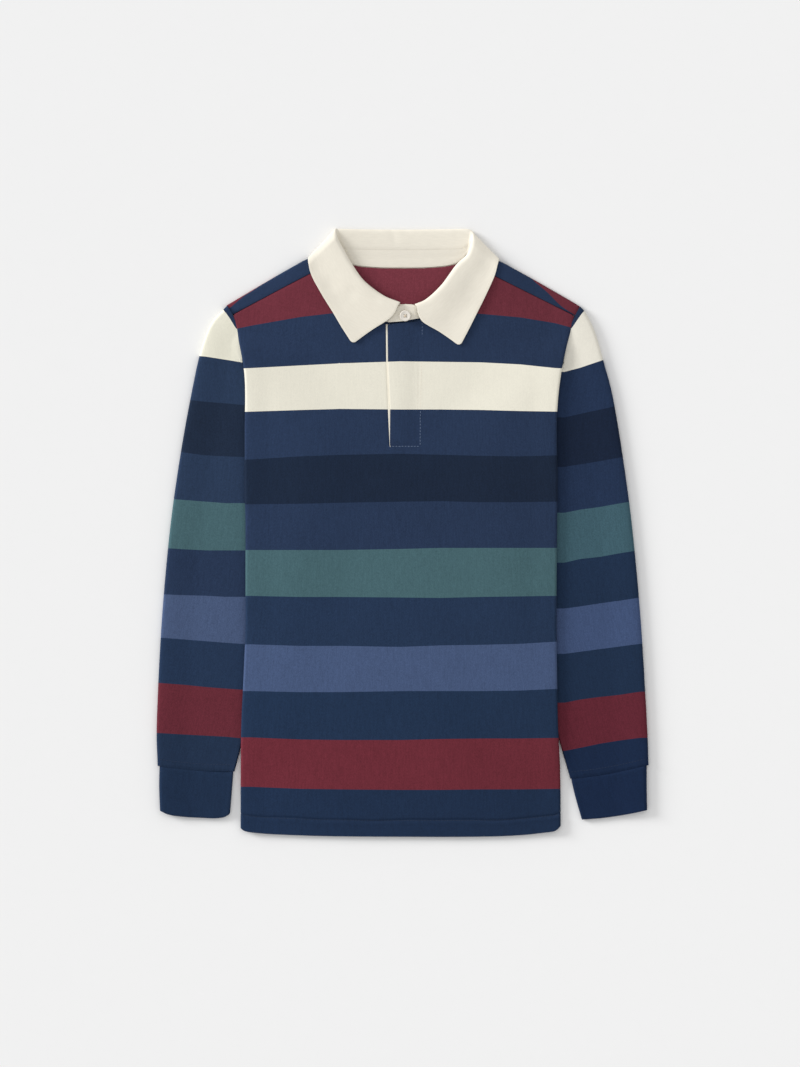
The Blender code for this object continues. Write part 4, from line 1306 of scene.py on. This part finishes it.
def pearl(name):
    """Milky shirt-button plastic with pearl clouds."""
    nodes = Nodes(name)
    cloud = nodes.noise(nodes.place(), 380.0, 4.0, (1.0, 0.5, 1.0))
    colour = nodes.mix(nodes.range(cloud, NOISE_LOW, NOISE_HIGH, 0.0, 1.0), linear(BUTTON_PEARL),
                       linear(PEARL_CLOUD))
    return nodes.finish(colour, Normal=nodes.bump(cloud, 0.15, 0.0001),
                        Roughness=nodes.range(cloud, NOISE_LOW, NOISE_HIGH, 0.22, 0.36),
                        Specular_IOR_Level=0.5, Coat_Weight=0.3, Coat_Roughness=0.15)


def finish_piece(item, material, slot, *nodes):
    item.data.materials.clear()
    item.data.materials.append(material)
    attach(item, "root")
    if nodes:
        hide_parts(*nodes)


# ---------------------------------------------------------------- the shirt

# Painted light and shade, as factors at the left and right of each piece: the body lighter on the
# left and darker on the right, the right sleeve darker to the right, the right cuff and the collar
# band darker all over, the right collar leaf lighter than the left.
PAINTED_BODY_SHADE = (1.10, 0.86)
PAINTED_RIGHT_SLEEVE_SHADE = (1.0, 0.82)
PAINTED_RIGHT_CUFF_SHADE = (0.86, 0.86)
PAINTED_LEAF_LIGHT_AND_SHADE = (0.97, 1.08)
PAINTED_BAND_SHADE = (0.97, 0.97)
SHOULDER_BAND = 0.5
BUTTON_BASE = 4.5 + TWILL / 2 + CLEAR
CUFF_KNIT = {"wale": 0.0014, "course": 0.0008}

front = build_front()
finish_piece(front, jersey("front_jersey", BODY_BANDS, shade=PAINTED_BODY_SHADE), "striped_jersey",
             "front_panel")
back = build_back()
set_strip_band(back, SHOULDER_BAND)
finish_piece(back, jersey("back_jersey", BACK_BANDS, corner="burgundy", shade=PAINTED_BODY_SHADE),
             "striped_jersey", "back_panel")
left_sleeve = build_tube("left_sleeve", SLEEVE_LEFT, CLOTH, SLEEVE_FOLD, LEFT_LINES,
                         CRESCENT_LEFT, seam="end")
finish_piece(left_sleeve, jersey("left_sleeve_jersey", LEFT_BANDS, corner="navy"),
             "striped_jersey", "sleeve_left")
right_sleeve = build_tube("right_sleeve", SLEEVE_RIGHT, CLOTH, SLEEVE_FOLD, RIGHT_LINES,
                          CRESCENT_RIGHT, seam="end")
finish_piece(right_sleeve, jersey("right_sleeve_jersey", RIGHT_BANDS, corner="navy",
                                  shade=PAINTED_RIGHT_SLEEVE_SHADE), "striped_jersey", "sleeve_right")
left_cuff = build_tube("left_cuff", CUFF_LEFT, CUFF_WALL, CUFF_FOLD, None, seam="start",
                       opening=CUFF_OPENING)
finish_piece(left_cuff, jersey("left_cuff_rib", colour=LIT_LEFT_CUFF_YARN, **CUFF_KNIT),
             "navy_cuff", "cuff_left")
right_cuff = build_tube("right_cuff", CUFF_RIGHT, CUFF_WALL, CUFF_FOLD, None, seam="start")
finish_piece(right_cuff, jersey("right_cuff_rib", colour=SHADED_RIGHT_CUFF_YARN, shade=PAINTED_RIGHT_CUFF_SHADE,
                                **CUFF_KNIT), "navy_cuff", "cuff_right")
leaves = build_fall()
finish_piece(leaves, twill("collar_twill", TWILL_YARN, PAINTED_LEAF_LIGHT_AND_SHADE), "cream_twill", "collar_fall")
band = build_stand()
finish_piece(band, twill("band_twill", TWILL_YARN, PAINTED_BAND_SHADE), "cream_twill", "collar_stand")
fly = build_fly()
finish_piece(fly, jersey("fly_jersey", BODY_BANDS, shade=PAINTED_BODY_SHADE), "striped_jersey",
             "placket_flap")
slip = build_slip()
finish_piece(slip, twill("slip_twill", SLIP_YARN), "cream_twill", "placket_underlap")
button = build_button(BUTTON_BASE)
finish_piece(button, pearl("pearl_button"), "pearl_plastic", "button")

# ---------------------------------------------------------------- its threads

# Each kind of stitch: pitch, length, width, and how deep it sinks
OUTER_STITCH = (2.9, 2.1, 0.5, 0.02)
INNER_STITCH = (2.9, 1.8, 0.34, 0.2)
HEM_STITCH = (2.7, 2.1, 0.42, 0.02)
WRIST_STITCH = (2.8, 2.1, 0.4, 0.04)
COLLAR_STITCH = (2.3, 1.8, 0.36, 0.08)
BAND_STITCH = (2.0, 1.6, 0.36, 0.08)
SIDE_X = 16.7
INNER_X = 14.3
OUTER_Y = 83.0
INNER_Y = 88.0
WRIST_BACK_OFF = 6.2
COLLAR_INSET = 2.4

placket_thread = sew("placket_stitches", (
    ([(SIDE_X + 2.0, 201), (SIDE_X + 1.9, 188.5)], 2.9, 2.0, 0.44, 0.1),
    ([(SIDE_X + 1.85, 187), (SIDE_X + 1.6, 164.5)], 2.9, 1.9, 0.3, 0.2),
    ([(SIDE_X + 0.2, 117), (SIDE_X, OUTER_Y + 1.0)], *OUTER_STITCH),
    ([(INNER_X, 117), (INNER_X, INNER_Y)], *INNER_STITCH),
    ([(-10.2, OUTER_Y), (SIDE_X - 0.6, OUTER_Y)], *OUTER_STITCH),
    ([(-9.6, INNER_Y), (INNER_X - 0.6, INNER_Y)], *INNER_STITCH),
), (fly, front), THREAD_BLUE, "blue_thread", "striped_jersey")

hem_line = [(x, float(eased(HEM, "x", x, "y")) + HEM_DEPTH + 0.6)
            for x in np.linspace(-151, 147.5, 120)]
hem_thread = sew("hem_stitches", ((hem_line, *HEM_STITCH),), (front,), THREAD_NAVY,
                 "navy_thread", "striped_jersey")


def wrist_line(table):
    """Line of stitches across a sleeve, a little up from its end seam."""
    out, end = (np.array((table[side + "_x"][-1], table[side + "_y"][-1]))
                for side in ("out", "in"))
    across = end - out
    up = unit(np.array((-across[1], across[0])) * (1 if across[0] > 0 else -1))
    result = []
    for share in np.linspace(0.02, 0.98, 20):
        spot = out + across * share
        spot[1] -= table["sag"][-1] * math.sin(math.pi * share)
        result.append(tuple(spot + up * WRIST_BACK_OFF))
    return result


sew("wrist_stitches", (
    (wrist_line(SLEEVE_LEFT), *WRIST_STITCH),
    (wrist_line(SLEEVE_RIGHT), *WRIST_STITCH),
), (left_sleeve, right_sleeve), THREAD_WRIST, "wrist_thread", "striped_jersey")

collar_fine = collar_columns(COLLAR_STEPS)


def inside_edge(first, last):
    """Line of edge stitching along the fall's free edge."""
    result = []
    for k in range(first, last):
        free, roll = (collar_spot(collar_fine, line, k) for line in ("free", "roll"))
        result.append(tuple(free + unit(roll - free) * COLLAR_INSET))
    return result


def front_edge(k):
    """The same along the front edge of one leaf."""
    free, roll = (collar_spot(collar_fine, line, k) for line in ("free", "roll"))
    heading, length = unit(free - roll), np.linalg.norm(free - roll)
    return [tuple(roll + heading * length * share + aside_of(heading)
                  * (leaf_bend(collar_fine, k, share, "right" if k else "left") - COLLAR_INSET))
            for share in np.linspace(0.12, 0.93, 20)]


count = len(collar_fine["free_x"])
collar_thread = sew("collar_stitches", (
    (inside_edge(4, 56), *COLLAR_STITCH),
    (inside_edge(count - 56, count - 4), *COLLAR_STITCH),
    (front_edge(0), *COLLAR_STITCH),
    (front_edge(count - 1), *COLLAR_STITCH),
    ([(-11.6, 203.0), (-5, 202.9), (2, 204.0), (9, 206.0)], *BAND_STITCH),
), (leaves, band), THREAD_CREAM, "cream_thread", "cream_twill")
placket_cream = sew("placket_cream_stitches", (
    ([(SIDE_X + 1.4, 163.0), (SIDE_X + 0.4, 119.5)], 2.9, 2.0, 0.42, 0.1),
    ([(INNER_X + 0.4, 163.0), (INNER_X, 119.5)], 2.9, 1.8, 0.36, 0.12),
), (fly, front), THREAD_ON_CREAM, "placket_cream_thread", "cream_twill")

cross = HOLE_OUT * math.cos(math.pi / 4)
bx, by = BUTTON_AT
sew("button_thread", (
    ([(bx - cross, by - cross), (bx + cross, by + cross)], 9.0, 3.4, 0.6, -0.1),
    ([(bx - cross, by + cross), (bx + cross, by - cross)], 9.0, 3.4, 0.6, -0.35),
), (button,), THREAD_BUTTON, "button_thread", "cream_twill", grip=0.05)

# ---------------------------------------------------------------- floor, light, camera

FLOOR_SIZE = 8
FLOOR_Z = -0.3
WORLD_LIGHT = 0.755
KEY_LIGHT = 2.6
KEY_SPREAD = math.radians(20)
KEY_ELEVATION = math.radians(17.5)
KEY_AZIMUTH = math.radians(155)
CAMERA_SPAN = 1.01365
CAMERA_AT = (-0.0024, 0.0002, 2.0)

bpy.ops.object.select_all(action="DESELECT")
bpy.ops.mesh.primitive_plane_add(size=FLOOR_SIZE)
floor = bpy.context.active_object
floor.name = floor.data.name = "floor"
place(floor, (0, 0, FLOOR_Z))
paper = Nodes("floor_paper")
tint = paper.mix(paper.noise(paper.place(), 60.0), *(linear(grey) for grey in FLOOR_GREYS))
floor.data.materials.append(paper.finish(tint, Roughness=0.95, Specular_IOR_Level=0.1))

scene = bpy.context.scene
scene.world = bpy.data.worlds.new("studio")
scene.world.use_nodes = True
sky = scene.world.node_tree.nodes["Background"]
sky.inputs["Color"].default_value = (1, 1, 1, 1)
sky.inputs["Strength"].default_value = WORLD_LIGHT

key_data = bpy.data.lights.new("key", "SUN")
key_data.energy = KEY_LIGHT
key_data.angle = KEY_SPREAD
key = bpy.data.objects.new("key", key_data)
scene.collection.objects.link(key)
toward = Vector((math.cos(KEY_ELEVATION) * math.cos(KEY_AZIMUTH),
                 math.cos(KEY_ELEVATION) * math.sin(KEY_AZIMUTH), math.sin(KEY_ELEVATION)))
key.rotation_euler = toward.to_track_quat("Z", "Y").to_euler()

camera_data = bpy.data.cameras.new("camera")
camera_data.type = "ORTHO"
camera_data.ortho_scale = CAMERA_SPAN
camera = bpy.data.objects.new("camera", camera_data)
camera.location = CAMERA_AT
scene.collection.objects.link(camera)
scene.camera = camera
scene.view_settings.view_transform = "Standard"
scene.view_settings.look = "None"
